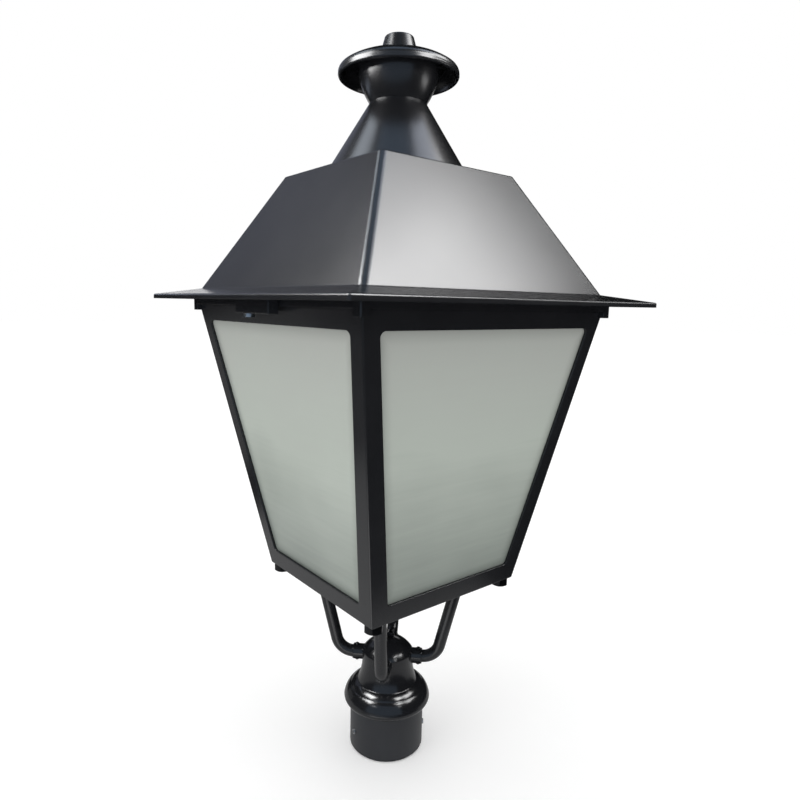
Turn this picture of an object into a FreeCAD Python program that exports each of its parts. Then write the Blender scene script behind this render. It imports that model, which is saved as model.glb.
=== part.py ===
import FreeCAD, Part
import math
import os
import Sketcher

# Post-top garden lantern head: pole socket, hub, four arms, tapered glazed body, ring, hinged hip roof
# with a flared eave, round vent chimney and saucer cap, and the lamp gear under the roof.
# The origin is the centre of the pole socket's mouth, +Z is up, -Y and -X are the two front faces.

doc = FreeCAD.newDocument("garden_light_head")
sizes = doc.addObject("Spreadsheet::Sheet", "sizes")
V = FreeCAD.Vector

DRIVING = (
    # pole socket
    ("pole_dia", "76", "pole that the socket takes"),
    ("pole_play", "0.5", "radial play of the pole in the socket"),
    ("socket_wall", "5", "wall of the socket tube"),
    ("socket_len", "66", "depth of the socket from its mouth to the stop"),
    ("socket_edge", "2", "chamfer on the outside of the mouth"),
    ("pole_screw_rad", "3", "radius of the pole screws"),
    ("pole_screw_up", "24", "height of the pole screws over the mouth"),
    ("pole_screw_out", "1.5", "how far the pole screws stand out"),
    ("pole_screw_back", "0.7", "how far the tips stay behind the bore"),
    ("pole_screw_turn", "172", "angle of the first pole screw about the axis"),
    ("pole_screw_spread", "148", "angle from the first pole screw to the second"),
    # clearances
    ("thread_play", "0.05", "radial play in a thread or a running fit"),
    ("hole_play", "0.3", "radial play of a bolt in a through hole"),
    ("press_play", "0.2", "radial play of the tube in the collar"),
    # hub casting
    ("collar_lap", "10", "lap of the collar over the socket"),
    ("collar_lip", "48.4", "radius of the collar at its lower edge"),
    ("collar_rad", "50.6", "widest radius of the collar"),
    ("collar_rise", "7.2", "widest part over the collar's lower edge"),
    ("seam_rad", "44", "radius at the collar's parting line"),
    ("seam_rise", "11", "parting line over the widest part"),
    ("seam_step", "0.9", "step at the parting line"),
    ("bell_rad", "35", "radius at the middle of the bell"),
    ("bell_rise", "6.9", "middle of the bell over the parting line"),
    ("neck_rad", "29.9", "radius of the neck and hub"),
    ("bell_high", "26.2", "neck over the middle of the bell"),
    ("neck_high", "9.7", "height of the neck"),
    ("dome_high", "15.5", "height of the dome"),
    ("cable_rad", "7", "radius of the cable hole in the dome"),
    ("hub_wall", "6", "wall of the dome and neck"),
    ("stop_rad", "30", "radius of the opening in the pole stop"),
    # arms
    ("arm_rise", "4", "arms' level run over the bell's neck"),
    ("arm_rad", "7", "radius of the arms"),
    ("arm_in", "27", "distance of the arms' inner ends from the axis"),
    ("arm_lead", "0.3", "straight run of the arms past the sleeves"),
    ("arm_lean", "13.6", "outward lean of the arms, degrees"),
    ("arm_reach", "84.2", "distance of the arms' upper ends from the axis"),
    ("sleeve_wall", "1.8", "wall of the arm sleeves"),
    ("sleeve_out", "41", "outer end of the arm sleeves"),
    ("arm_screw_rad", "2.5", "radius of the arm set screws"),
    ("arm_screw_at", "36.7", "distance of the arm set screws from the axis"),
    ("arm_screw_bite", "2", "how far a set screw goes into the arm"),
    ("arm_screw_out", "1.5", "how far a set screw stands out of the sleeve"),
    ("arm_bolt_rad", "3", "radius of the bolts in the arms' upper ends"),
    ("arm_bolt_deep", "8", "depth of the bolts in the arms"),
    ("arm_bolt_flat", "10", "width across flats of the arm bolts"),
    ("arm_bolt_head", "4", "height of the arm bolts' heads"),
    # body frame
    ("body_gap", "85", "body over the dome"),
    ("body_low_half", "100.1", "half width of the body at its lower face"),
    ("body_high", "295.6", "height of the body at its corners"),
    ("body_top_half", "156", "half width of the body at its upper corners"),
    ("frame_wall", "3", "wall of the body frame, measured level"),
    ("sill_high", "20.3", "windows over the body's lower face"),
    ("stile_low", "19.7", "stile beside the windows at their foot"),
    ("head_high", "10.8", "windows under the body's upper corners"),
    ("stile_top", "16.8", "stile beside the windows at their head"),
    ("win_round", "5", "corner radius of the windows"),
    ("corner_round", "1.5", "rounding of the corner edges of the frame and the ring"),
    ("floor_thick", "4", "thickness of the frame's floor ring"),
    ("floor_wide", "22.1", "width of the floor ring from the body's edge"),
    # base plate and corner bolts
    ("plate_thick", "3", "thickness of the base plate"),
    ("plate_play", "0.8", "gap round the base plate"),
    ("corner_bolt_rad", "4", "radius of the corner bolts"),
    ("corner_bolt_in", "10", "corner bolts from the body's edges"),
    ("corner_bolt_flat", "17", "width across flats of the corner bolts"),
    ("corner_bolt_head", "9.3", "height of the corner bolts' heads"),
    ("corner_nut_flat", "13", "width across flats of the corner nuts"),
    ("corner_nut_high", "6.5", "height of the corner nuts"),
    ("corner_bolt_over", "2", "corner bolts over their nuts"),
    ("grommet_rad", "8", "radius of the grommet's groove"),
    ("grommet_bore", "5", "radius of the grommet's bore"),
    ("grommet_lip", "3", "width of the grommet's lips"),
    ("grommet_lip_high", "2", "height of the grommet's lips"),
    # panes
    ("pane_thick", "4", "thickness of the panes, measured level"),
    ("pane_lap", "6", "lap of the panes behind the frame"),
    ("clip_at", "38", "pane clips from the middle of the pane"),
    ("clip_wide", "12", "width of the pane clips"),
    ("clip_thick", "2", "thickness of the pane clips"),
    ("clip_foot", "5", "height of the pane clips' feet"),
    ("clip_lap", "7", "lap of the pane clips over the pane"),
    ("clip_gap", "0.4", "gap between a clip's foot and the pane's edge"),
    # ring and gasket
    ("ring_over", "6", "ring over the body's upper corners"),
    ("ring_wide", "9.5", "width of the ring"),
    ("block_high", "6.2", "height of the ring's corner blocks"),
    ("ring_high", "6.7", "height of the ring between its corner blocks"),
    ("block_leg", "10", "side of the ring's corner blocks"),
    ("notch_play", "0.5", "gap between a corner block and the frame"),
    ("gasket_thick", "2", "thickness of the roof gasket"),
    ("gasket_wide", "6", "width of the roof gasket"),
    ("gasket_edge", "2", "gasket from the ring's outer edge"),
    # roof
    ("rim_drop", "1", "eave's lower edge under the ring's upper face"),
    ("rim_thick", "5", "height of the eave's rim"),
    ("eave_over", "34", "eave over the ring"),
    ("eave_round", "2", "corner radius of the eave"),
    ("rim_round", "1.6", "rounding of the rim's upper edge"),
    ("lip_wide", "3.8", "width of the eave's drip lip"),
    ("eave_rise", "7", "rise of the eave from its rim to the roof panels"),
    ("roof_in", "5.8", "foot of the roof panels inside the ring's face"),
    ("roof_high", "120.1", "height of the roof panels"),
    ("roof_top_half", "87.4", "half width of the roof at its upper face"),
    ("hip_round", "6", "rounding of the hips"),
    ("roof_wall", "3.5", "wall of the roof at its top"),
    ("roof_foot_wall", "6", "wall of the roof at its foot"),
    ("flange_thick", "4", "thickness of the roof's inner flange"),
    ("flange_wide", "8", "lap of the gear tray under the flange"),
    # chimney
    ("cone_rad", "75.2", "radius of the chimney cone at its foot"),
    ("waist_rad", "29.8", "radius of the chimney's waist"),
    ("cone_high", "72.5", "height of the chimney cone"),
    ("cone_wall", "3", "wall of the chimney cone and bell"),
    ("cone_lid", "4", "thickness of the plates at the waist"),
    ("funnel_rad", "41.9", "radius of the bell at its side"),
    ("funnel_rise", "27.4", "height of the bell's curve"),
    ("funnel_lip", "43.5", "radius of the bell at its upper edge"),
    ("funnel_lip_high", "9", "height of the bell's upper edge"),
    ("bead_gap", "3", "gap between the bell and the bead under the cap"),
    ("bead_wide", "2.5", "width of the bead"),
    ("bead_high", "2.5", "height of the bead"),
    ("cap_rad", "62.9", "radius of the saucer cap"),
    ("cap_drop", "11.7", "cap's lower edge under its underside"),
    ("cap_edge_high", "3.2", "cap's widest part over its lower edge"),
    ("cap_edge", "2.2", "thickness of the cap's lower edge"),
    ("cap_side_high", "7", "cap's shoulder over its widest part"),
    ("cap_side_in", "3.4", "cap's shoulder inside its widest part"),
    ("cap_crown_high", "11.5", "cap's crown over its shoulder"),
    ("knob_rad", "20.5", "radius of the finial knob at its foot"),
    ("knob_top_rad", "15.4", "radius of the knob under its rounded top"),
    ("knob_high", "17.5", "height of the knob's side"),
    ("knob_dome", "1.8", "height of the knob's rounded top"),
    ("knob_flat", "13.4", "radius of the flat on the knob"),
    ("tie_rad", "4", "radius of the tie bolt"),
    ("tie_deep", "16", "depth of the tie bolt in the knob"),
    ("tie_flat", "13", "width across flats of the tie bolt's head"),
    ("tie_head", "5.5", "height of the tie bolt's head"),
    # hinge
    ("hinge_out", "9", "hinge axis from the ring's face"),
    ("hinge_down", "9", "hinge axis under the eave's flat underside"),
    ("hinge_half", "50", "half length of the hinge"),
    ("leaf_thick", "2.5", "thickness of the hinge leaves"),
    ("leaf_gap", "0.5", "gap at the edges of the hinge leaves"),
    ("knuckle_rad", "5", "radius of the hinge knuckles"),
    ("knuckle_half", "20", "half length of the middle knuckle's bay"),
    ("knuckle_gap", "0.3", "gap at each end of the middle knuckle"),
    ("web_half", "2.5", "half thickness of the knuckle webs"),
    ("hinge_pin_rad", "2", "radius of the hinge pin"),
    ("hinge_pin_cap", "2", "length of the pin's caps"),
    ("leaf_edge", "3.5", "roof leaf from the eave's drip lip"),
    # latch
    ("latch_gap", "0.6", "gap between the latch block and the ring"),
    ("latch_deep", "10.4", "depth of the latch block"),
    ("latch_half", "33", "half length of the latch block"),
    ("latch_drop", "6.9", "latch block under the ring's lower face"),
    ("latch_round", "0.8", "rounding of the latch block's front edges"),
    ("latch_shift", "4.5", "latch block's middle from the mid plane, to the front"),
    ("cam_at", "10", "latch shaft from the mid plane, to the rear"),
    ("cam_rad", "3", "radius of the latch shaft"),
    ("cam_head_rad", "5.5", "radius of the latch head"),
    ("cam_head_high", "3.2", "height of the latch head"),
    ("cam_gap", "0.3", "running gap round the latch tongue and head"),
    ("cam_reach", "9.5", "reach of the latch tongue from the shaft"),
    ("cam_half", "2.5", "half width of the latch tongue"),
    ("cam_thick", "3", "thickness of the latch tongue"),
    ("cam_under", "0.8", "latch tongue under the ring's lower face"),
    ("cam_tail", "3", "length of the shaft over the tongue"),
    ("cam_slot", "1.4", "width of the driver slot in the latch head"),
    ("cam_slot_deep", "1.3", "depth of the driver slot"),
    # lamp gear
    ("tray_thick", "2.5", "thickness of the gear tray"),
    ("tray_play", "1.5", "gap between the gear tray and the ring"),
    ("tray_screw_rad", "2", "radius of the gear screws"),
    ("tray_screw_in", "4", "gear tray screws from the tray's edge"),
    ("tray_screw_at", "60", "gear tray screws from the mid planes"),
    ("tray_screw_bite", "2.5", "depth of the tray screws in the flange"),
    ("screw_head_rad", "3.5", "radius of the gear screws' heads"),
    ("screw_head_high", "2", "height of the gear screws' heads"),
    ("sink_base", "5", "thickness of the heat sink's base"),
    ("fin_high", "20", "height of the fins"),
    ("fin_thick", "2", "thickness of the fins"),
    ("fin_count", "11", "number of fins"),
    ("board_thick", "1.6", "thickness of the LED board"),
    ("board_screw_gap", "5.5", "LED board screws from the outer chips' edges"),
    ("board_edge", "8", "LED board screws from the edges of the board and the heat sink"),
    ("board_screw_bite", "3.5", "depth of the board screws in the heat sink"),
    ("chip_side", "5", "side of the LED chips"),
    ("chip_high", "1", "height of the LED chips"),
    ("chip_pitch", "22", "spacing of the LED chips"),
    ("chip_count", "5", "LED chips in a row"),
    ("driver_half", "55", "half length of the driver"),
    ("driver_wide", "42", "width of the driver"),
    ("driver_high", "30", "height of the driver"),
    ("driver_gap", "10", "gap between the heat sink and the driver"),
    ("driver_round", "3", "rounding of the driver's edges"),
    ("ear_long", "12", "length of the driver's ears"),
    ("ear_half", "9", "half width of the driver's ears"),
    ("ear_thick", "3", "thickness of the driver's ears"),
    ("terminal_half", "23", "half length of the terminal block"),
    ("terminal_wide", "20", "width of the terminal block"),
    ("terminal_high", "16", "height of the terminal block"),
    ("terminal_gap", "22", "gap between the heat sink and the terminal block"),
    ("terminal_pitch", "14", "spacing of the terminals"),
    ("terminal_well", "3.2", "radius of the terminals' screw wells"),
    ("terminal_deep", "6", "depth of the screw wells"),
    ("wire_rad", "6", "radius of the wire hole in the gear tray"),
)

DERIVED = (
    ("bore_rad", "=pole_dia / 2 + pole_play"),
    ("socket_rad", "=bore_rad + socket_wall"),
    ("socket_mouth", "=socket_rad - socket_edge"),
    ("pole_screw_hole", "=pole_screw_rad + thread_play"),
    ("pole_screw_tip", "=bore_rad + pole_screw_back"),
    ("pole_screw_len", "=socket_wall - pole_screw_back + pole_screw_out"),
    ("recess_rad", "=socket_rad + press_play"),
    ("collar_low", "=socket_len - collar_lap"),
    ("collar_mid", "=collar_low + collar_rise"),
    ("seam_up", "=collar_mid + seam_rise"),
    ("bell_up", "=seam_up + bell_rise"),
    ("neck_up", "=bell_up + bell_high"),
    ("hub_shoulder", "=neck_up + neck_high"),
    ("hub_top", "=hub_shoulder + dome_high"),
    ("arm_up", "=neck_up + arm_rise"),
    ("body_low", "=hub_top + body_gap"),
    ("body_top", "=body_low + body_high"),
    ("ring_low", "=body_top + block_high"),
    ("ring_top", "=ring_low + ring_high"),
    ("ring_half", "=body_top_half + ring_over"),
    ("ring_flat", "=ring_half - corner_round"),
    ("ring_open", "=ring_half - ring_wide"),
    ("seam_in", "=seam_rad - seam_step"),
    ("seam_over", "=seam_up + 0.6 * seam_step"),
    ("hub_in_rad", "=neck_rad - hub_wall"),
    ("hub_in_low", "=neck_up - 2 * hub_wall"),
    ("hub_in_top", "=hub_top - hub_wall"),
    ("hub_in_shoulder", "=hub_shoulder - hub_wall / 2"),
    ("sleeve_rad", "=arm_rad + thread_play + sleeve_wall"),
    ("sleeve_in", "=hub_in_rad + hub_wall / 4"),
    ("sleeve_len", "=sleeve_out - sleeve_in"),
    ("sleeve_bore", "=arm_rad + thread_play"),
    ("sleeve_deep", "=sleeve_out - arm_in"),
    ("tap_full", "=2 * (sleeve_rad + arm_screw_out)"),
    ("arm_screw_hole", "=arm_screw_rad + thread_play"),
    ("arm_screw_seat", "=arm_rad - arm_screw_bite"),
    ("arm_screw_high", "=arm_up + arm_screw_seat"),
    ("arm_screw_low", "=arm_up - arm_screw_seat"),
    ("arm_screw_len", "=sleeve_rad - arm_screw_seat + arm_screw_out"),
    ("plate_low", "=body_low + floor_thick"),
    ("plate_top", "=plate_low + plate_thick"),
    ("arm_slope", "=tan(arm_lean)"),
    ("arm_corner", "=arm_reach - (plate_low - arm_up) * arm_slope"),
    ("arm_turn", "=sleeve_out + arm_lead"),
    ("arm_bend", "=(arm_corner - arm_turn) / tan((90 - arm_lean) / 2)"),
    ("arm_end_up", "=plate_low + 2 * arm_rad"),
    ("arm_end_out", "=arm_reach + 2 * arm_rad * arm_slope"),
    ("arm_bolt_hole", "=arm_bolt_rad + thread_play"),
    ("arm_bolt_pass", "=arm_bolt_rad + hole_play"),
    ("arm_bolt_end", "=plate_low - arm_bolt_deep"),
    ("arm_bolt_len", "=arm_bolt_deep + plate_thick"),
    ("arm_head_side", "=arm_bolt_flat / 2"),
    ("arm_head_tip", "=arm_bolt_flat / sqrt(3)"),
    ("arm_head_far", "=arm_reach + arm_head_tip"),
    ("arm_head_mid", "=arm_reach + arm_head_tip / 2"),
    ("arm_head_in", "=arm_reach - arm_head_tip / 2"),
    ("arm_head_near", "=arm_reach - arm_head_tip"),
    ("arm_xy", "=arm_reach / sqrt(2)"),
    ("frame_slope", "=(body_top_half - body_low_half) / (body_top - body_low)"),
    ("frame_top_half", "=body_low_half + (ring_low - body_low) * frame_slope"),
    ("body_low_flat", "=body_low_half - corner_round"),
    ("frame_top_flat", "=frame_top_half - corner_round"),
    ("win_low", "=body_low + sill_high"),
    ("win_top", "=body_top - head_high"),
    ("win_low_half", "=body_low_half + sill_high * frame_slope - stile_low"),
    ("win_top_half", "=body_top_half - head_high * frame_slope - stile_top"),
    ("floor_open", "=body_low_half - floor_wide"),
    ("corner_bolt_at", "=body_low_half - corner_bolt_in"),
    ("frame_in_low", "=body_low_half + floor_thick * frame_slope - frame_wall"),
    ("frame_over", "=ring_low + frame_wall"),
    ("frame_in_over", "=frame_top_half + frame_wall * frame_slope - frame_wall"),
    ("frame_span", "=3 * body_top_half"),
    ("notch_in", "=ring_half - block_leg - notch_play"),
    ("notch_out", "=ring_half + notch_play"),
    ("block_in", "=ring_half - block_leg"),
    ("notch_high", "=block_high + frame_wall"),
    ("plate_half", "=frame_in_low - plate_play"),
    ("corner_hole", "=corner_bolt_rad + hole_play"),
    ("corner_head_low", "=body_low - corner_bolt_head"),
    ("corner_shank", "=floor_thick + plate_thick + corner_nut_high + corner_bolt_over"),
    ("corner_nut_hole", "=corner_bolt_rad + thread_play"),
    ("corner_reach", "=corner_bolt_at * sqrt(2)"),
    ("corner_head_side", "=corner_bolt_flat / 2"),
    ("corner_head_tip", "=corner_bolt_flat / sqrt(3)"),
    ("corner_head_far", "=corner_reach + corner_head_tip"),
    ("corner_head_mid", "=corner_reach + corner_head_tip / 2"),
    ("corner_head_in", "=corner_reach - corner_head_tip / 2"),
    ("corner_head_near", "=corner_reach - corner_head_tip"),
    ("corner_nut_side", "=corner_nut_flat / 2"),
    ("corner_nut_tip", "=corner_nut_flat / sqrt(3)"),
    ("corner_nut_far", "=corner_reach + corner_nut_tip"),
    ("corner_nut_mid", "=corner_reach + corner_nut_tip / 2"),
    ("corner_nut_in", "=corner_reach - corner_nut_tip / 2"),
    ("corner_nut_near", "=corner_reach - corner_nut_tip"),
    ("grommet_hole", "=grommet_rad + thread_play"),
    ("grommet_out", "=grommet_rad + grommet_lip"),
    ("grommet_low", "=plate_low - grommet_lip_high"),
    ("grommet_top", "=plate_top + grommet_lip_high"),
    ("pane_low", "=win_low - pane_lap"),
    ("pane_top", "=win_top + pane_lap"),
    ("pane_low_half", "=win_low_half + pane_lap"),
    ("pane_top_half", "=win_top_half + pane_lap"),
    ("pane_low_out", "=body_low_half + (pane_low - body_low) * frame_slope - frame_wall"),
    ("pane_top_out", "=body_low_half + (pane_top - body_low) * frame_slope - frame_wall"),
    ("pane_low_in", "=pane_low_out - pane_thick"),
    ("pane_top_in", "=pane_top_out - pane_thick"),
    ("clip_start", "=clip_at - clip_wide / 2"),
    ("clip_end", "=clip_at + clip_wide / 2"),
    ("clip_low_edge", "=pane_low - clip_gap"),
    ("clip_low_foot", "=clip_low_edge - clip_foot"),
    ("clip_low_tip", "=pane_low + clip_lap"),
    ("clip_low_wall", "=body_low_half + (clip_low_foot - body_low) * frame_slope - frame_wall"),
    ("clip_low_rest", "=clip_low_wall + clip_foot * frame_slope"),
    ("clip_low_rest_in", "=clip_low_rest - pane_thick"),
    ("clip_low_tip_out", "=pane_low_in + clip_lap * frame_slope"),
    ("clip_low_tip_in", "=clip_low_tip_out - clip_thick"),
    ("clip_low_back", "=clip_low_wall - pane_thick - clip_thick"),
    ("clip_top_edge", "=pane_top + clip_gap"),
    ("clip_top_foot", "=clip_top_edge + clip_foot"),
    ("clip_top_tip", "=pane_top - clip_lap"),
    ("clip_top_wall", "=body_low_half + (clip_top_foot - body_low) * frame_slope - frame_wall"),
    ("clip_top_rest", "=clip_top_wall - clip_foot * frame_slope"),
    ("clip_top_rest_in", "=clip_top_rest - pane_thick"),
    ("clip_top_tip_out", "=pane_top_in - clip_lap * frame_slope"),
    ("clip_top_tip_in", "=clip_top_tip_out - clip_thick"),
    ("clip_top_back", "=clip_top_wall - pane_thick - clip_thick"),
    ("gasket_half", "=ring_half - gasket_edge"),
    ("gasket_open", "=gasket_half - gasket_wide"),
    ("seat_up", "=ring_top + gasket_thick"),
    ("rim_low", "=ring_top - rim_drop"),
    ("rim_top", "=rim_low + rim_thick"),
    ("eave_half", "=ring_half + eave_over"),
    ("roof_base", "=rim_top + eave_rise"),
    ("roof_base_half", "=ring_half - roof_in"),
    ("roof_top", "=roof_base + roof_high"),
    ("eave_flat", "=eave_half - eave_round"),
    ("base_flat", "=roof_base_half - hip_round"),
    ("roof_flat", "=roof_top_half - hip_round"),
    ("lip_half", "=eave_half - lip_wide"),
    ("lip_flat", "=lip_half - eave_round"),
    ("lip_deep", "=seat_up - rim_low"),
    ("tray_half", "=ring_open - tray_play"),
    ("flange_half", "=tray_half - flange_wide"),
    ("flange_top", "=seat_up + flange_thick"),
    ("attic_low_half", "=roof_base_half - roof_foot_wall"),
    ("attic_top", "=roof_top - roof_wall"),
    ("attic_top_half", "=roof_top_half - roof_wall"),
    ("waist_up", "=roof_top + cone_high"),
    ("funnel_side", "=waist_up + funnel_rise"),
    ("cap_under", "=funnel_side + funnel_lip_high"),
    ("bead_rad", "=funnel_lip + bead_gap + bead_wide"),
    ("cap_low", "=cap_under - cap_drop"),
    ("cap_side", "=cap_low + cap_edge_high"),
    ("cap_shoulder", "=cap_side + cap_side_high"),
    ("cap_shoulder_rad", "=cap_rad - cap_side_in"),
    ("cap_crown", "=cap_shoulder + cap_crown_high"),
    ("knob_side", "=cap_crown + knob_high"),
    ("knob_top", "=knob_side + knob_dome"),
    ("tie_hole", "=tie_rad + hole_play"),
    ("tie_nut_hole", "=tie_rad + thread_play"),
    ("tie_tip", "=cap_crown + tie_deep"),
    ("tie_head_low", "=attic_top - tie_head"),
    ("tie_len", "=tie_tip - attic_top"),
    ("tie_side", "=tie_flat / 2"),
    ("tie_point", "=tie_flat / sqrt(3)"),
    ("tie_mid", "=tie_point / 2"),
    ("cone_in_rad", "=cone_rad - cone_wall * 1.2"),
    ("cone_in_top", "=waist_up - cone_lid"),
    ("cone_slope", "=(cone_rad - waist_rad) / cone_high"),
    ("waist_in_rad", "=waist_rad - cone_wall * 1.2 + cone_lid * cone_slope"),
    ("funnel_floor", "=waist_up + cone_lid"),
    ("funnel_floor_rad", "=waist_rad - cone_wall + cone_lid * 0.4"),
    ("funnel_side_in", "=funnel_rad - cone_wall"),
    ("funnel_lip_in", "=funnel_lip - cone_wall"),
    ("bead_in", "=bead_rad - bead_wide"),
    ("bead_low", "=cap_under - bead_high"),
    ("cap_edge_out", "=cap_rad - 0.6 * cap_edge"),
    ("cap_edge_in", "=cap_edge_out - cap_edge"),
    ("hinge_at", "=ring_half + hinge_out"),
    ("hinge_up", "=seat_up - hinge_down"),
    ("leaf_out", "=ring_half + leaf_thick"),
    ("leaf_low", "=hinge_up - knuckle_rad"),
    ("leaf_top", "=ring_top - leaf_gap"),
    ("web_low", "=hinge_up - web_half"),
    ("web_top", "=hinge_up + web_half"),
    ("web_in", "=hinge_at - web_half"),
    ("web_out", "=hinge_at + web_half"),
    ("hinge_full", "=2 * hinge_half"),
    ("knuckle_len", "=hinge_half - knuckle_half"),
    ("knuckle_full", "=2 * (knuckle_half - knuckle_gap)"),
    ("pin_hole", "=hinge_pin_rad + thread_play"),
    ("pin_cap_rad", "=(hinge_pin_rad + knuckle_rad) / 2"),
    ("roof_leaf_low", "=seat_up - leaf_thick"),
    ("roof_leaf_in", "=leaf_out + leaf_gap"),
    ("roof_leaf_out", "=lip_half - leaf_edge"),
    ("latch_back", "=ring_half + latch_gap"),
    ("latch_front", "=latch_back + latch_deep"),
    ("latch_start", "=latch_half + latch_shift"),
    ("latch_end", "=latch_half - latch_shift"),
    ("latch_full", "=2 * latch_half"),
    ("latch_low", "=ring_low - latch_drop"),
    ("latch_high", "=seat_up - latch_low"),
    ("cam_axis", "=latch_back + latch_deep / 2"),
    ("cam_top", "=ring_low - cam_under"),
    ("cam_low", "=cam_top - cam_thick"),
    ("cam_head_top", "=latch_low - cam_gap"),
    ("cam_head_low", "=cam_head_top - cam_head_high"),
    ("cam_hole", "=cam_rad + thread_play"),
    ("cam_shaft_len", "=cam_top + cam_tail - cam_head_top"),
    ("cam_hole_deep", "=cam_top + cam_tail + cam_gap - latch_low"),
    ("cam_sweep", "=sqrt(cam_reach ^ 2 + cam_half ^ 2) + cam_gap"),
    ("bay_low", "=cam_low - cam_gap"),
    ("bay_high", "=cam_thick + 2 * cam_gap"),
    ("bay_front", "=cam_axis + cam_rad + cam_gap"),
    ("bay_back", "=ring_half"),
    ("bay_start", "=cam_at - cam_rad - cam_gap"),
    ("bay_end", "=cam_at + cam_sweep"),
    ("cam_slot_half", "=cam_slot / 2"),
    ("tray_low", "=seat_up - tray_thick"),
    ("tray_screw_row", "=tray_half - tray_screw_in"),
    ("tray_screw_hole", "=tray_screw_rad + hole_play"),
    ("flange_hole", "=tray_screw_rad + thread_play"),
    ("flange_hole_deep", "=tray_screw_bite + hole_play"),
    ("tray_head_low", "=tray_low - screw_head_high"),
    ("tray_shank", "=tray_thick + tray_screw_bite"),
    ("chip_run", "=chip_pitch * (chip_count - 1)"),
    ("chip_far", "=chip_run / 2 + chip_side / 2"),
    ("board_screw_at", "=chip_far + board_screw_gap"),
    ("sink_half", "=board_screw_at + board_edge"),
    ("fin_top", "=seat_up + sink_base"),
    ("fin_run", "=2 * sink_half - fin_thick"),
    ("fin_edge", "=sink_half - fin_thick"),
    ("board_low", "=tray_low - board_thick"),
    ("board_head_low", "=board_low - screw_head_high"),
    ("board_shank", "=board_thick + tray_thick + board_screw_bite"),
    ("sink_hole", "=tray_screw_rad + thread_play"),
    ("sink_hole_deep", "=board_screw_bite + hole_play"),
    ("chip_low", "=board_low - chip_high"),
    ("chip_near", "=chip_run / 2 - chip_side / 2"),
    ("driver_near", "=sink_half + driver_gap"),
    ("driver_far", "=driver_near + driver_wide"),
    ("driver_mid", "=driver_near + driver_wide / 2"),
    ("ear_end", "=driver_half + ear_long"),
    ("ear_near", "=driver_mid - ear_half"),
    ("ear_far", "=driver_mid + ear_half"),
    ("ear_hole_at", "=driver_half + ear_long / 2"),
    ("ear_top", "=seat_up + ear_thick"),
    ("driver_shank", "=ear_thick + tray_thick"),
    ("terminal_near", "=sink_half + terminal_gap"),
    ("terminal_far", "=terminal_near + terminal_wide"),
    ("terminal_mid", "=terminal_near + terminal_wide / 2"),
    ("terminal_top", "=seat_up + terminal_high"),
    ("terminal_run", "=2 * terminal_pitch"),
    ("wire_at", "=sink_half + terminal_gap / 2"),
)

row = 0
for alias, value, note in DRIVING:
    row += 1
    sizes.set("A%d" % row, note)
    sizes.set("B%d" % row, value)
    sizes.setAlias("B%d" % row, alias)
for alias, value in DERIVED:
    row += 1
    sizes.set("A%d" % row, "follows from the sizes above")
    sizes.set("B%d" % row, value)
    sizes.setAlias("B%d" % row, alias)
doc.recompute()

QUARTER = math.sqrt(0.5)
NODES = []


def num(name):
    """Value of a size; a leading minus takes its negative and "0" is the origin."""
    if name == "0":
        return 0.0
    value = sizes.get(name.lstrip("-"))
    value = float(getattr(value, "Value", value))
    return -value if name.startswith("-") else value


def cell(name):
    """Expression that reads a size from the sheet."""
    if name == "0":
        return "0"
    return ("-" if name.startswith("-") else "") + "sizes." + name.lstrip("-")


def new_body(label, turn=None):
    """Body of one node, turned about the lantern's axis by a size or a number of degrees."""
    body = doc.addObject("PartDesign::Body", label)
    body.Label = label
    body.AllowCompound = True
    if isinstance(turn, str):
        body.Placement = FreeCAD.Placement(V(0, 0, 0), V(0, 0, 1), 0)
        body.setExpression("Placement.Rotation.Angle", cell(turn))
    elif turn is not None:
        body.Placement = FreeCAD.Placement(V(0, 0, 0), V(0, 0, 1), turn)
    NODES.append(body)
    return body


def datum(body, role):
    """Origin plane or axis of a body."""
    return [item for item in body.Origin.OriginFeatures if item.Role == role][0]


def new_sketch(body, role, lift=None):
    """Sketch on an origin plane, lifted along the plane's normal by a size."""
    sk = body.newObject("Sketcher::SketchObject", body.Label + "_sketch")
    sk.AttachmentSupport = [(datum(body, role), "")]
    sk.MapMode = "FlatFace"
    if lift:
        sk.setExpression("AttachmentOffset.Base.z", cell(lift))
    return sk


def at_level(body, height):
    """Sketch on a level plane at a height."""
    return new_sketch(body, "XY_Plane", height)


def tie(sk, index, end, across, up):
    """Tie one end of a sketch element to a pair of sizes."""
    for name, kind, axis in ((across, "DistanceX", -2), (up, "DistanceY", -1)):
        if name == "0":
            sk.addConstraint(Sketcher.Constraint("PointOnObject", index, end, axis))
            continue
        if name.startswith("-"):
            link = Sketcher.Constraint(kind, index, end, -1, 1, abs(num(name)))
        else:
            link = Sketcher.Constraint(kind, -1, 1, index, end, abs(num(name)))
        number = sk.addConstraint(link)
        sk.setExpression("Constraints[%d]" % number, cell(name.lstrip("-")))


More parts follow.
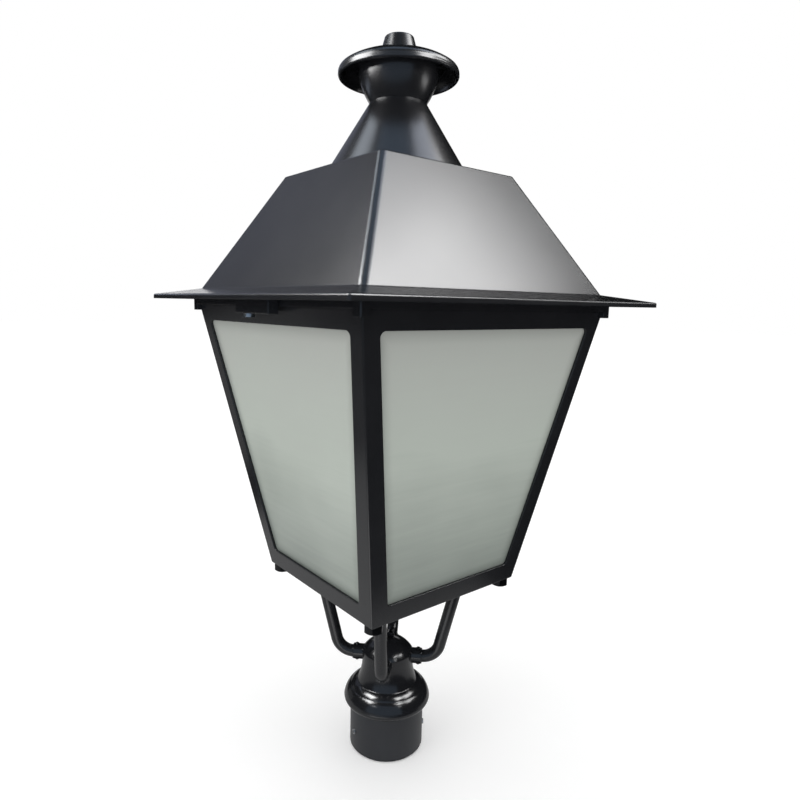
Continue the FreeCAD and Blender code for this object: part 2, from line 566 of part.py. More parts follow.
def outline(sk, points):
    """Closed chain through points named by pairs of sizes.

    A third entry bends the run that starts there into an arc. It is the arc's radius over its chord,
    positive where the arc's centre lies left of the run.
    """
    first = sk.GeometryCount
    spots = [V(num(point[0]), num(point[1]), 0) for point in points]
    ends = []
    for i, point in enumerate(points):
        start, stop = spots[i], spots[(i + 1) % len(points)]
        if len(point) == 2:
            sk.addGeometry(Part.LineSegment(start, stop), False)
            ends.append((1, 2))
            continue
        chord = stop - start
        radius = abs(point[2]) * chord.Length
        left = V(-chord.y, chord.x, 0).normalize() * math.copysign(1.0, point[2])
        centre = (start + stop) * 0.5 + left * math.sqrt(max(radius ** 2 - chord.Length ** 2 / 4, 0.0))
        angles = [math.atan2(spot.y - centre.y, spot.x - centre.x) for spot in (start, stop)]
        if point[2] < 0:
            angles.reverse()
        if angles[1] < angles[0]:
            angles[1] += 2 * math.pi
        circle = Part.Circle(centre, V(0, 0, 1), radius)
        sk.addGeometry(Part.ArcOfCircle(circle, angles[0], angles[1]), False)
        ends.append((1, 2) if point[2] > 0 else (2, 1))
    count = len(points)
    for i in range(count):
        j = (i + 1) % count
        sk.addConstraint(Sketcher.Constraint("Coincident", first + i, ends[i][1], first + j, ends[j][0]))
    for i, point in enumerate(points):
        tie(sk, first + i, ends[i][0], point[0], point[1])
        if len(point) == 3:
            after = points[(i + 1) % count]
            chord = "sqrt((%s - (%s))^2 + (%s - (%s))^2)" % (
                cell(after[0]), cell(point[0]), cell(after[1]), cell(point[1]))
            radius = abs(point[2]) * (spots[(i + 1) % count] - spots[i]).Length
            number = sk.addConstraint(Sketcher.Constraint("Radius", first + i, radius))
            sk.setExpression("Constraints[%d]" % number, "%.8f * %s" % (abs(point[2]), chord))
    return sk


def box_outline(sk, left, right, low, high):
    """Rectangle between four sizes."""
    return outline(sk, [(left, low), (right, low), (right, high), (left, high)])


def square(sk, half):
    """Square centred on the axis."""
    return box_outline(sk, "-" + half, half, "-" + half, half)


def round_square(sk, half, flat):
    """Square with rounded corners; flat is the half width less the corner radius."""
    return outline(sk, [
        (flat, "-" + half, QUARTER), (half, "-" + flat), (half, flat, QUARTER), (flat, half),
        ("-" + flat, half, QUARTER), ("-" + half, flat), ("-" + half, "-" + flat, QUARTER),
        ("-" + flat, "-" + half)])


def circle(sk, radius, across="0", up="0"):
    """Circle whose radius and centre are sizes."""
    index = sk.addGeometry(Part.Circle(V(num(across), num(up), 0), V(0, 0, 1), num(radius)), False)
    number = sk.addConstraint(Sketcher.Constraint("Radius", index, num(radius)))
    sk.setExpression("Constraints[%d]" % number, cell(radius))
    tie(sk, index, 3, across, up)
    return sk


def hexagon(sk, far, mid, near_mid, near, side):
    """Hexagon with two corners on the sketch's first axis."""
    return outline(sk, [
        (far, "0"), (mid, side), (near_mid, side), (near, "0"), (near_mid, "-" + side), (mid, "-" + side)])


def feature(body, kind, sk):
    """Feature of a body made from a profile sketch."""
    item = body.newObject("PartDesign::" + kind, body.Label + "_" + kind.lower())
    item.Profile = sk
    return item


def pad(body, sk, length, back=False, middle=False):
    """Pad by a size along the sketch's normal, against it, or half each way."""
    item = feature(body, "Pad", sk)
    item.setExpression("Length", cell(length))
    item.Reversed = back
    if middle:
        item.SideType = "Symmetric"
    doc.recompute()
    return item


def pocket(body, sk, length, forward=False, middle=False):
    """Pocket by a size against the sketch's normal, along it, or half each way."""
    before = body.Shape.Volume
    item = feature(body, "Pocket", sk)
    item.setExpression("Length", cell(length))
    item.Reversed = forward
    if middle:
        item.SideType = "Symmetric"
    doc.recompute()
    if body.Shape.Volume > before - 1e-3:
        raise RuntimeError("a cut in %s removes nothing" % body.Label)
    return item


def revolve(body, points):
    """Solid of revolution about the lantern's axis from a half section."""
    sk = outline(new_sketch(body, "XZ_Plane"), points)
    item = feature(body, "Revolution", sk)
    item.ReferenceAxis = (sk, ["V_Axis"])
    item.Angle = 360
    doc.recompute()
    return item


def loft(body, low, high, cut=False):
    """Straight loft between two sketches, added to the body or cut from it."""
    before = body.Shape.Volume if cut else 0.0
    item = feature(body, "SubtractiveLoft" if cut else "AdditiveLoft", low)
    item.Sections = [(high, [""])]
    item.Ruled = True
    doc.recompute()
    if cut and body.Shape.Volume > before - 1e-3:
        raise RuntimeError("a cut in %s removes nothing" % body.Label)
    return item


def round_axis(body, originals, count, spread=None):
    """Repeat features about the lantern's axis, evenly all round or over an angle from the sheet."""
    item = body.newObject("PartDesign::PolarPattern", body.Label + "_pattern")
    item.Originals = originals
    item.Axis = (datum(body, "Z_Axis"), [""])
    item.Angle = 360
    if spread:
        item.setExpression("Angle", cell(spread))
    item.Occurrences = count
    body.Tip = item
    doc.recompute()
    return item


def in_row(body, originals, axis, length, count):
    """Repeat features along an origin axis over a length, with a count from the sheet."""
    item = body.newObject("PartDesign::LinearPattern", body.Label + "_row")
    item.Originals = originals
    item.Direction = (datum(body, axis), [""])
    item.setExpression("Length", cell(length))
    item.setExpression("Occurrences", cell(count))
    body.Tip = item
    doc.recompute()
    return item


def mirrored(body, originals, plane):
    """Repeat features on the other side of an origin plane."""
    item = body.newObject("PartDesign::Mirrored", body.Label + "_mirror")
    item.Originals = originals
    item.MirrorPlane = (datum(body, plane), [""])
    body.Tip = item
    doc.recompute()
    return item


def rounded(body, base, radius, pick):
    """Fillet the edges that a test picks from the body's last feature."""
    names = ["Edge%d" % (i + 1) for i, edge in enumerate(base.Shape.Edges) if pick(edge)]
    item = body.newObject("PartDesign::Fillet", body.Label + "_fillet")
    item.Base = (base, names)
    item.setExpression("Radius", cell(radius))
    doc.recompute()
    return item


def level(edge, height):
    """True where an edge lies flat at a height."""
    box = edge.BoundBox
    return abs(box.ZMin - height) < 1e-4 and abs(box.ZMax - height) < 1e-4


# Pole socket: a plain tube with two threaded holes
body = new_body("post_socket", "pole_screw_turn")
revolve(body, [("bore_rad", "0"), ("socket_mouth", "0"), ("socket_rad", "socket_edge"),
               ("socket_rad", "socket_len"), ("bore_rad", "socket_len")])
cut = pocket(body, circle(new_sketch(body, "YZ_Plane"), "pole_screw_hole", "0", "pole_screw_up"),
             "socket_rad", forward=True)
round_axis(body, [cut], 2, "pole_screw_spread")

body = new_body("pole_screws", "pole_screw_turn")
screw = pad(body, circle(new_sketch(body, "YZ_Plane", "pole_screw_tip"), "pole_screw_rad", "0",
                         "pole_screw_up"), "pole_screw_len")
round_axis(body, [screw], 2, "pole_screw_spread")

# Hub casting: collar, bell, neck and dome in one turn, with four sleeves on the diagonals
body = new_body("hub_casting", 45)
revolve(body, [
    ("recess_rad", "collar_low"), ("collar_lip", "collar_low", 0.78), ("collar_rad", "collar_mid", 1.6),
    ("seam_rad", "seam_up"), ("seam_in", "seam_over", 2.0), ("bell_rad", "bell_up", -2.5),
    ("neck_rad", "neck_up"), ("neck_rad", "hub_shoulder", 1.38), ("cable_rad", "hub_top"),
    ("cable_rad", "hub_in_top"), ("hub_in_rad", "hub_in_shoulder"), ("hub_in_rad", "hub_in_low"),
    ("stop_rad", "socket_len"), ("recess_rad", "socket_len")])
sleeve = pad(body, circle(new_sketch(body, "YZ_Plane", "sleeve_in"), "sleeve_rad", "0", "arm_up"),
             "sleeve_len")
round_axis(body, [sleeve], 4)
bore = pocket(body, circle(new_sketch(body, "YZ_Plane", "sleeve_out"), "sleeve_bore", "0", "arm_up"),
              "sleeve_deep")
round_axis(body, [bore], 4)
tap = pocket(body, circle(at_level(body, "arm_up"), "arm_screw_hole", "arm_screw_at"), "tap_full",
             middle=True)
round_axis(body, [tap], 4)

# Arms: a level run out of the sleeve, one bend, and a leaning run up to the base plate
for label, turn in (("arm_front", 225), ("arm_left", 135), ("arm_right", 315), ("arm_rear", 45)):
    body = new_body(label, turn)
    path = new_sketch(body, "XZ_Plane")
    lean = math.radians(num("arm_lean"))
    centre = V(num("arm_turn"), num("arm_up") + num("arm_bend"), 0)
    rise = V(centre.x + num("arm_bend") * math.cos(lean), centre.y - num("arm_bend") * math.sin(lean), 0)
    path.addGeometry(Part.LineSegment(V(num("arm_in"), num("arm_up"), 0), V(num("arm_turn"), num("arm_up"),
                                                                            0)))
    bend = Part.Circle(centre, V(0, 0, 1), num("arm_bend"))
    path.addGeometry(Part.ArcOfCircle(bend, -math.pi / 2, -lean))
    path.addGeometry(Part.LineSegment(rise, V(num("arm_end_out"), num("arm_end_up"), 0)))
    tie(path, 0, 1, "arm_in", "arm_up")
    tie(path, 0, 2, "arm_turn", "arm_up")
    path.addConstraint(Sketcher.Constraint("Tangent", 0, 2, 1, 1))
    path.addConstraint(Sketcher.Constraint("Tangent", 1, 2, 2, 1))
    tie(path, 2, 2, "arm_end_out", "arm_end_up")
    number = path.addConstraint(Sketcher.Constraint("Radius", 1, num("arm_bend")))
    path.setExpression("Constraints[%d]" % number, cell("arm_bend"))
    section = circle(new_sketch(body, "YZ_Plane", "arm_in"), "arm_rad", "0", "arm_up")
    pipe = feature(body, "AdditivePipe", section)
    pipe.Spine = (path, [])
    doc.recompute()
    pocket(body, box_outline(at_level(body, "plate_low"), "arm_corner", "body_top_half", "-socket_rad",
                             "socket_rad"), "arm_end_up", forward=True)
    pocket(body, circle(at_level(body, "plate_low"), "arm_bolt_hole", "arm_reach"), "arm_bolt_deep")
    pocket(body, circle(at_level(body, "arm_screw_high"), "arm_screw_hole", "arm_screw_at"), "arm_rad",
           forward=True)
    pocket(body, circle(at_level(body, "arm_screw_low"), "arm_screw_hole", "arm_screw_at"), "arm_rad")

body = new_body("arm_set_screws", 45)
upper = pad(body, circle(at_level(body, "arm_screw_high"), "arm_screw_rad", "arm_screw_at"),
            "arm_screw_len")
lower = pad(body, circle(at_level(body, "arm_screw_low"), "arm_screw_rad", "arm_screw_at"),
            "arm_screw_len", back=True)
round_axis(body, [upper, lower], 4)

body = new_body("arm_bolts", 45)
shank = pad(body, circle(at_level(body, "arm_bolt_end"), "arm_bolt_rad", "arm_reach"), "arm_bolt_len")
head = pad(body, hexagon(at_level(body, "plate_top"), "arm_head_far", "arm_head_mid", "arm_head_in",
                         "arm_head_near", "arm_head_side"), "arm_bolt_head")
round_axis(body, [shank, head], 4)

# Base plate on the frame's floor ring
body = new_body("base_plate")
pad(body, square(at_level(body, "plate_low"), "plate_half"), "plate_thick")
pocket(body, circle(at_level(body, "plate_top"), "grommet_hole"), "plate_thick")
hole = pocket(body, circle(at_level(body, "plate_top"), "arm_bolt_pass", "arm_xy", "arm_xy"), "plate_thick")
round_axis(body, [hole], 4)
hole = pocket(body, circle(at_level(body, "plate_top"), "corner_hole", "corner_bolt_at", "corner_bolt_at"),
              "plate_thick")
round_axis(body, [hole], 4)

body = new_body("cable_grommet")
revolve(body, [("grommet_bore", "grommet_low"), ("grommet_out", "grommet_low"), ("grommet_out", "plate_low"),
               ("grommet_rad", "plate_low"), ("grommet_rad", "plate_top"), ("grommet_out", "plate_top"),
               ("grommet_out", "grommet_top"), ("grommet_bore", "grommet_top")])

# Corner bolts with their heads under the body's corners, and their nuts on the base plate
body = new_body("corner_bolts", 45)
head = pad(body, hexagon(at_level(body, "corner_head_low"), "corner_head_far", "corner_head_mid",
                         "corner_head_in", "corner_head_near", "corner_head_side"), "corner_bolt_head")
shank = pad(body, circle(at_level(body, "body_low"), "corner_bolt_rad", "corner_reach"), "corner_shank")
round_axis(body, [head, shank], 4)

body = new_body("corner_nuts", 45)
section = hexagon(at_level(body, "plate_top"), "corner_nut_far", "corner_nut_mid", "corner_nut_in",
                  "corner_nut_near", "corner_nut_side")
nut = pad(body, circle(section, "corner_nut_hole", "corner_reach"), "corner_nut_high")
round_axis(body, [nut], 4)

# Body frame: a tapered square shell with a window in each side and a floor ring
body = new_body("body_frame")
loft(body, round_square(at_level(body, "body_low"), "body_low_half", "body_low_flat"),
     round_square(at_level(body, "ring_low"), "frame_top_half", "frame_top_flat"))
loft(body, square(at_level(body, "plate_low"), "frame_in_low"),
     square(at_level(body, "frame_over"), "frame_in_over"), cut=True)
pocket(body, square(at_level(body, "plate_low"), "floor_open"), "floor_thick")
for plane in ("XZ_Plane", "YZ_Plane"):
    pane_hole = outline(new_sketch(body, plane), [
        ("-win_low_half", "win_low"), ("win_low_half", "win_low"), ("win_top_half", "win_top"),
        ("-win_top_half", "win_top")])
    windows = pocket(body, pane_hole, "frame_span", middle=True)


def window_corner(edge):
    """True for the short edges through the wall at the corners of the windows."""
    box = edge.BoundBox
    flat = box.ZLength < 1e-4 and min(box.XLength, box.YLength) < 1e-4
    short = abs(max(box.XLength, box.YLength) - num("frame_wall")) < 1e-3
    at_edge = min(abs(box.ZMin - num("win_low")), abs(box.ZMin - num("win_top"))) < 1e-3
    return flat and short and at_edge


rounded(body, windows, "win_round", window_corner)
notch = pocket(body, box_outline(at_level(body, "body_top"), "notch_in", "notch_out", "notch_in",
                                 "notch_out"), "notch_high", forward=True)
round_axis(body, [notch], 4)
hole = pocket(body, circle(at_level(body, "plate_low"), "corner_hole", "corner_bolt_at", "corner_bolt_at"),
              "floor_thick")
round_axis(body, [hole], 4)

# Panes: level-cut sheets that lean with the frame's inner faces
for label, turn in (("pane_front", 0), ("pane_right", 90), ("pane_rear", 180), ("pane_left", 270)):
    body = new_body(label, turn)
    loft(body, box_outline(at_level(body, "pane_low"), "-pane_low_half", "pane_low_half", "-pane_low_out",
                           "-pane_low_in"), box_outline(at_level(body, "pane_top"), "-pane_top_half",
                                                        "pane_top_half", "-pane_top_out", "-pane_top_in"))

# Clips on the rails, two at the foot and two at the head of each pane
body = new_body("pane_clips")
clips = []
for start in ("clip_start", "-clip_end"):
    foot = outline(new_sketch(body, "YZ_Plane", start), [
        ("-clip_low_wall", "clip_low_foot"), ("-clip_low_back", "clip_low_foot"),
        ("-clip_low_tip_in", "clip_low_tip"), ("-clip_low_tip_out", "clip_low_tip"),
        ("-clip_low_rest_in", "clip_low_edge"), ("-clip_low_rest", "clip_low_edge")])
    clips.append(pad(body, foot, "clip_wide"))
    top = outline(new_sketch(body, "YZ_Plane", start), [
        ("-clip_top_wall", "clip_top_foot"), ("-clip_top_rest", "clip_top_edge"),
        ("-clip_top_rest_in", "clip_top_edge"), ("-clip_top_tip_out", "clip_top_tip"),
        ("-clip_top_tip_in", "clip_top_tip"), ("-clip_top_back", "clip_top_foot")])
    clips.append(pad(body, top, "clip_wide"))
round_axis(body, clips, 4)

# Ring on the frame's upper edge, with a block down over each corner, and the gasket on it
body = new_body("top_ring")
section = round_square(at_level(body, "ring_low"), "ring_half", "ring_flat")
pad(body, square(section, "ring_open"), "ring_high")
section = outline(at_level(body, "ring_low"), [
    ("block_in", "block_in"), ("ring_half", "block_in"), ("ring_half", "ring_flat", QUARTER),
    ("ring_flat", "ring_half"), ("block_in", "ring_half")])
block = pad(body, section, "block_high", back=True)
round_axis(body, [block], 4)

body = new_body("roof_gasket")
section = square(at_level(body, "ring_top"), "gasket_half")
pad(body, square(section, "gasket_open"), "gasket_thick")

# Hinge on the +X side: a leaf on the ring, a leaf under the eave, and a pin through three knuckles
body = new_body("hinge_leaf_ring")
pad(body, box_outline(new_sketch(body, "XZ_Plane"), "ring_half", "leaf_out", "leaf_low", "leaf_top"),
    "hinge_full", middle=True)
web = pad(body, box_outline(new_sketch(body, "XZ_Plane", "knuckle_half"), "ring_half", "hinge_at", "web_low",
                            "web_top"), "knuckle_len")
barrel = pad(body, circle(new_sketch(body, "XZ_Plane", "knuckle_half"), "knuckle_rad", "hinge_at",
                          "hinge_up"), "knuckle_len")
mirrored(body, [web, barrel], "XZ_Plane")
pocket(body, circle(new_sketch(body, "XZ_Plane"), "pin_hole", "hinge_at", "hinge_up"), "frame_span",
       middle=True)

body = new_body("hinge_leaf_roof")
pad(body, box_outline(new_sketch(body, "XZ_Plane"), "roof_leaf_in", "roof_leaf_out", "roof_leaf_low",
                      "seat_up"), "hinge_full", middle=True)
pad(body, box_outline(new_sketch(body, "XZ_Plane"), "web_in", "web_out", "hinge_up", "roof_leaf_low"),
    "knuckle_full", middle=True)
pad(body, circle(new_sketch(body, "XZ_Plane"), "knuckle_rad", "hinge_at", "hinge_up"), "knuckle_full",
    middle=True)
pocket(body, circle(new_sketch(body, "XZ_Plane"), "pin_hole", "hinge_at", "hinge_up"), "frame_span",
       middle=True)

body = new_body("hinge_pin")
pad(body, circle(new_sketch(body, "XZ_Plane"), "hinge_pin_rad", "hinge_at", "hinge_up"), "hinge_full",
    middle=True)
pin_cap = pad(body, circle(new_sketch(body, "XZ_Plane", "hinge_half"), "pin_cap_rad", "hinge_at", "hinge_up"),
              "hinge_pin_cap")
mirrored(body, [pin_cap], "XZ_Plane")

# Roof shell: rim, flared eave and four panels with rounded hips, hollow, with an inner flange
body = new_body("roof_shell")
pad(body, round_square(at_level(body, "rim_low"), "eave_half", "eave_flat"), "rim_thick")
loft(body, round_square(at_level(body, "rim_top"), "eave_half", "eave_flat"),
     round_square(at_level(body, "roof_base"), "roof_base_half", "base_flat"))
panels = loft(body, round_square(at_level(body, "roof_base"), "roof_base_half", "base_flat"),
              round_square(at_level(body, "roof_top"), "roof_top_half", "roof_flat"))
rounded(body, panels, "rim_round",
        lambda edge: level(edge, num("rim_top")) or level(edge, num("roof_top")))
pocket(body, round_square(at_level(body, "rim_low"), "lip_half", "lip_flat"), "lip_deep", forward=True)
pocket(body, square(at_level(body, "seat_up"), "flange_half"), "flange_thick", forward=True)
loft(body, square(at_level(body, "flange_top"), "attic_low_half"),
     square(at_level(body, "attic_top"), "attic_top_half"), cut=True)
pocket(body, circle(at_level(body, "roof_top"), "tie_hole"), "roof_wall")
section = circle(at_level(body, "seat_up"), "flange_hole", "tray_screw_row", "tray_screw_at")
hole = pocket(body, circle(section, "flange_hole", "tray_screw_row", "-tray_screw_at"), "flange_hole_deep",
              forward=True)
round_axis(body, [hole], 4)

# Chimney: cone, bell, saucer cap and knob, held by one long bolt
body = new_body("chimney_cone")
revolve(body, [("cone_in_rad", "roof_top"), ("cone_rad", "roof_top"), ("waist_rad", "waist_up"),
               ("tie_hole", "waist_up"), ("tie_hole", "cone_in_top"), ("waist_in_rad", "cone_in_top")])

body = new_body("chimney_bell")
revolve(body, [("tie_hole", "waist_up"), ("waist_rad", "waist_up", 2.7), ("funnel_rad", "funnel_side"),
               ("funnel_lip", "cap_under"), ("funnel_lip_in", "cap_under"), ("funnel_side_in",
                                                                             "funnel_side", -2.7),
               ("funnel_floor_rad", "funnel_floor"), ("tie_hole", "funnel_floor")])

body = new_body("cap_disc")
revolve(body, [("tie_hole", "cap_under"), ("bead_in", "cap_under"), ("bead_in", "bead_low"),
               ("bead_rad", "bead_low"), ("bead_rad", "cap_under", -1.2), ("cap_edge_in", "cap_low"),
               ("cap_edge_out", "cap_low", 0.75), ("cap_rad", "cap_side", 0.9),
               ("cap_shoulder_rad", "cap_shoulder", 1.8), ("knob_rad", "cap_crown"),
               ("tie_hole", "cap_crown")])

body = new_body("finial_knob")
revolve(body, [("tie_nut_hole", "cap_crown"), ("knob_rad", "cap_crown"), ("knob_top_rad", "knob_side", 0.75),
               ("knob_flat", "knob_top"), ("0", "knob_top"), ("0", "tie_tip"), ("tie_nut_hole", "tie_tip")])

body = new_body("tie_bolt")
pad(body, hexagon(at_level(body, "tie_head_low"), "tie_point", "tie_mid", "-tie_mid", "-tie_point",
                  "tie_side"), "tie_head")
pad(body, circle(at_level(body, "attic_top"), "tie_rad"), "tie_len")

# Lamp gear on the tray under the roof
body = new_body("gear_tray")
pad(body, square(at_level(body, "tray_low"), "tray_half"), "tray_thick")
section = circle(at_level(body, "seat_up"), "tray_screw_hole", "tray_screw_row", "tray_screw_at")
hole = pocket(body, circle(section, "tray_screw_hole", "tray_screw_row", "-tray_screw_at"), "tray_thick")
round_axis(body, [hole], 4)
hole = pocket(body, circle(at_level(body, "seat_up"), "tray_screw_hole", "board_screw_at",
                           "board_screw_at"), "tray_thick")
round_axis(body, [hole], 4)
section = circle(at_level(body, "seat_up"), "tray_screw_hole", "ear_hole_at", "driver_mid")
section = circle(section, "tray_screw_hole", "-ear_hole_at", "driver_mid")
pocket(body, circle(section, "wire_rad", "0", "-wire_at"), "tray_thick")

body = new_body("tray_screws")
section = circle(at_level(body, "tray_head_low"), "screw_head_rad", "tray_screw_row", "tray_screw_at")
head = pad(body, circle(section, "screw_head_rad", "tray_screw_row", "-tray_screw_at"), "screw_head_high")
section = circle(at_level(body, "tray_low"), "tray_screw_rad", "tray_screw_row", "tray_screw_at")
shank = pad(body, circle(section, "tray_screw_rad", "tray_screw_row", "-tray_screw_at"), "tray_shank")
round_axis(body, [head, shank], 4)

body = new_body("heat_sink")
pad(body, square(at_level(body, "seat_up"), "sink_half"), "sink_base")
fin = pad(body, box_outline(at_level(body, "fin_top"), "-sink_half", "-fin_edge", "-sink_half",
                            "sink_half"), "fin_high")
in_row(body, [fin], "X_Axis", "fin_run", "fin_count")
hole = pocket(body, circle(at_level(body, "seat_up"), "sink_hole", "board_screw_at", "board_screw_at"),
              "sink_hole_deep", forward=True)
round_axis(body, [hole], 4)

body = new_body("led_board")
pad(body, square(at_level(body, "board_low"), "sink_half"), "board_thick")
hole = pocket(body, circle(at_level(body, "tray_low"), "tray_screw_hole", "board_screw_at",
                           "board_screw_at"), "board_thick")
round_axis(body, [hole], 4)

body = new_body("led_chips")
chip = pad(body, box_outline(at_level(body, "chip_low"), "-chip_far", "-chip_near", "-chip_far",
                             "-chip_near"), "chip_high")
grid = body.newObject("PartDesign::MultiTransform", "led_chips_grid")
grid.Originals = [chip]
rows = []
for axis in ("X_Axis", "Y_Axis"):
    line = body.newObject("PartDesign::LinearPattern", "led_chips_row")
    line.Direction = (datum(body, axis), [""])
    line.setExpression("Length", cell("chip_run"))
    line.setExpression("Occurrences", cell("chip_count"))
    rows.append(line)
grid.Transformations = rows
body.Tip = grid
doc.recompute()

body = new_body("board_screws")
head = pad(body, circle(at_level(body, "board_head_low"), "screw_head_rad", "board_screw_at",
                        "board_screw_at"), "screw_head_high")
shank = pad(body, circle(at_level(body, "board_low"), "tray_screw_rad", "board_screw_at",
                         "board_screw_at"), "board_shank")
round_axis(body, [head, shank], 4)

body = new_body("driver_case")
case = pad(body, box_outline(at_level(body, "seat_up"), "-driver_half", "driver_half", "driver_near",
                             "driver_far"), "driver_high")
rounded(body, case, "driver_round", lambda edge: edge.BoundBox.ZMax > num("seat_up") + 1.0)
pad(body, box_outline(at_level(body, "seat_up"), "-ear_end", "ear_end", "ear_near", "ear_far"), "ear_thick")
section = circle(at_level(body, "ear_top"), "tray_screw_hole", "ear_hole_at", "driver_mid")
pocket(body, circle(section, "tray_screw_hole", "-ear_hole_at", "driver_mid"), "ear_thick")

body = new_body("driver_screws")
section = circle(at_level(body, "ear_top"), "screw_head_rad", "ear_hole_at", "driver_mid")
pad(body, circle(section, "screw_head_rad", "-ear_hole_at", "driver_mid"), "screw_head_high")
section = circle(at_level(body, "ear_top"), "tray_screw_rad", "ear_hole_at", "driver_mid")
pad(body, circle(section, "tray_screw_rad", "-ear_hole_at", "driver_mid"), "driver_shank", back=True)

body = new_body("terminal_block")
pad(body, box_outline(at_level(body, "seat_up"), "-terminal_half", "terminal_half", "-terminal_far",
                      "-terminal_near"), "terminal_high")
wells = circle(at_level(body, "terminal_top"), "terminal_well", "0", "-terminal_mid")
wells = circle(wells, "terminal_well", "terminal_pitch", "-terminal_mid")
pocket(body, circle(wells, "terminal_well", "-terminal_pitch", "-terminal_mid"), "terminal_deep")

# Latch on the -X side: a block under the eave and a turning shaft whose tongue goes under the ring
body = new_body("latch_block")
block = pad(body, box_outline(at_level(body, "latch_low"), "-latch_front", "-latch_back", "-latch_start",
                              "latch_end"), "latch_high")
rounded(body, block, "latch_round", lambda edge: abs(edge.BoundBox.XMax + num("latch_front")) < 1e-3
        and edge.BoundBox.ZMin < num("seat_up") - 1e-3)
pocket(body, box_outline(at_level(body, "bay_low"), "-bay_front", "-bay_back", "bay_start", "bay_end"),
       "bay_high", forward=True)
pocket(body, circle(at_level(body, "latch_low"), "cam_hole", "-cam_axis", "cam_at"), "cam_hole_deep",
       forward=True)

body = new_body("latch_cam")
body.setExpression("Placement.Base.x", cell("-cam_axis"))
body.setExpression("Placement.Base.y", cell("cam_at"))
pad(body, circle(at_level(body, "cam_head_low"), "cam_head_rad"), "cam_head_high")
pad(body, circle(at_level(body, "cam_head_top"), "cam_rad"), "cam_shaft_len")
pad(body, box_outline(at_level(body, "cam_low"), "-cam_half", "cam_half", "0", "cam_reach"), "cam_thick")
pocket(body, box_outline(at_level(body, "cam_head_low"), "-cam_slot_half", "cam_slot_half",
                         "-cam_head_rad", "cam_head_rad"), "cam_slot_deep", forward=True)

doc.recompute()
for item in doc.Objects:
    if "Invalid" in item.State or "Error" in item.State:
        raise RuntimeError("%s did not build" % item.Name)
for body in NODES:
    if body.Shape.isNull() or not body.Shape.isValid():
        raise RuntimeError("%s has no valid shape" % body.Label)
os.makedirs("parts", exist_ok=True)
for body in NODES:
    body.Shape.exportStep("parts/%s.step" % body.Label)
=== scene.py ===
import logging
import math
from dataclasses import dataclass
from enum import Enum
from typing import Any, Callable, ClassVar, Optional

import bpy
from mathutils import Matrix, Vector


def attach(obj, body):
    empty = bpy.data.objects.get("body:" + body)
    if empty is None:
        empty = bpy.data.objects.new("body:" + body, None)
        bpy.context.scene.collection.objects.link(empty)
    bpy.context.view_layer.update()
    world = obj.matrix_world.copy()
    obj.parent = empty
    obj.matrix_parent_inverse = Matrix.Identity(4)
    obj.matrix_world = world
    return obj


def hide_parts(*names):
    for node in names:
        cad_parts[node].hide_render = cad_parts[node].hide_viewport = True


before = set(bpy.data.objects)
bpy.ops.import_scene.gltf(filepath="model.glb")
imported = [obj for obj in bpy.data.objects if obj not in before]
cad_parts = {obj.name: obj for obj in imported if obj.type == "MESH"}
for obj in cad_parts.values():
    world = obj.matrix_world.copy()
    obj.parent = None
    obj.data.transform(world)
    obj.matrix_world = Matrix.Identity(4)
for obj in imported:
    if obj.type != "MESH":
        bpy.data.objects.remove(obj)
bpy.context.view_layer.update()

LOG = logging.getLogger("garden_light_head")
MM = 0.001
ORIGIN = (0.0, 0.0, 0.0)
UP = (0.0, 0.0, 1.0)
DOWN = (0.0, 0.0, -1.0)
WHITE = "#ffffff"
# A face looks up or down when this much of its normal does
FACING = 0.9
# An edge is level when no more than this of its direction is upright
LEVEL = 0.1
# Heights closer than this, in metres, are the same
SAME = 1e-6
# Faces that meet at less than this are shaded as one, in degrees
SMOOTH_DEG = 32.0
# A socket tool or a hexagon that is trimmed stands this far past the solid, in millimetres
PAST = 1.0
# The tool that cuts a slot or cross recess stands this far past the head, in millimetres
SLOT_PAST = 0.5
# A shank runs this far into its head, in millimetres
INTO = 0.2
# Most of a noise texture lies between these values
NOISE_LOW = 0.3
NOISE_HIGH = 0.7


class Carrier(Enum):
    """The rigid bodies that pieces ride on."""

    LANTERN = "lantern"
    ROOF = "roof"


class Grain(Enum):
    """How a metal's surface was worked: the scale of its grain along X, Y and Z."""

    ROLLED = (1.0, 1.0, 1.0)
    DRAWN = (1.0, 0.03, 1.0)


class Beam(Enum):
    """What a softbox lights."""

    SHEEN = "reflections only"
    MATT = "matt surfaces only"


class Pick(Enum):
    """What is selected in edit mode."""

    FACES = "FACE"
    EDGES = "EDGE"


class Join(Enum):
    """How one solid acts on another."""

    CUT = "DIFFERENCE"
    MEET = "INTERSECT"
    FUSE = "UNION"


def linear(code: str) -> tuple[float, float, float, float]:
    """Turn an sRGB hex colour into linear values.

    Args:
        code: Colour such as "#1a2b3c".

    Returns:
        Linear red, green, blue and an alpha of one.
    """
    parts = [int(code[i:i + 2], 16) / 255 for i in (1, 3, 5)]
    flat = [v / 12.92 if v <= 0.04045 else ((v + 0.055) / 1.055) ** 2.4 for v in parts]
    return flat[0], flat[1], flat[2], 1.0


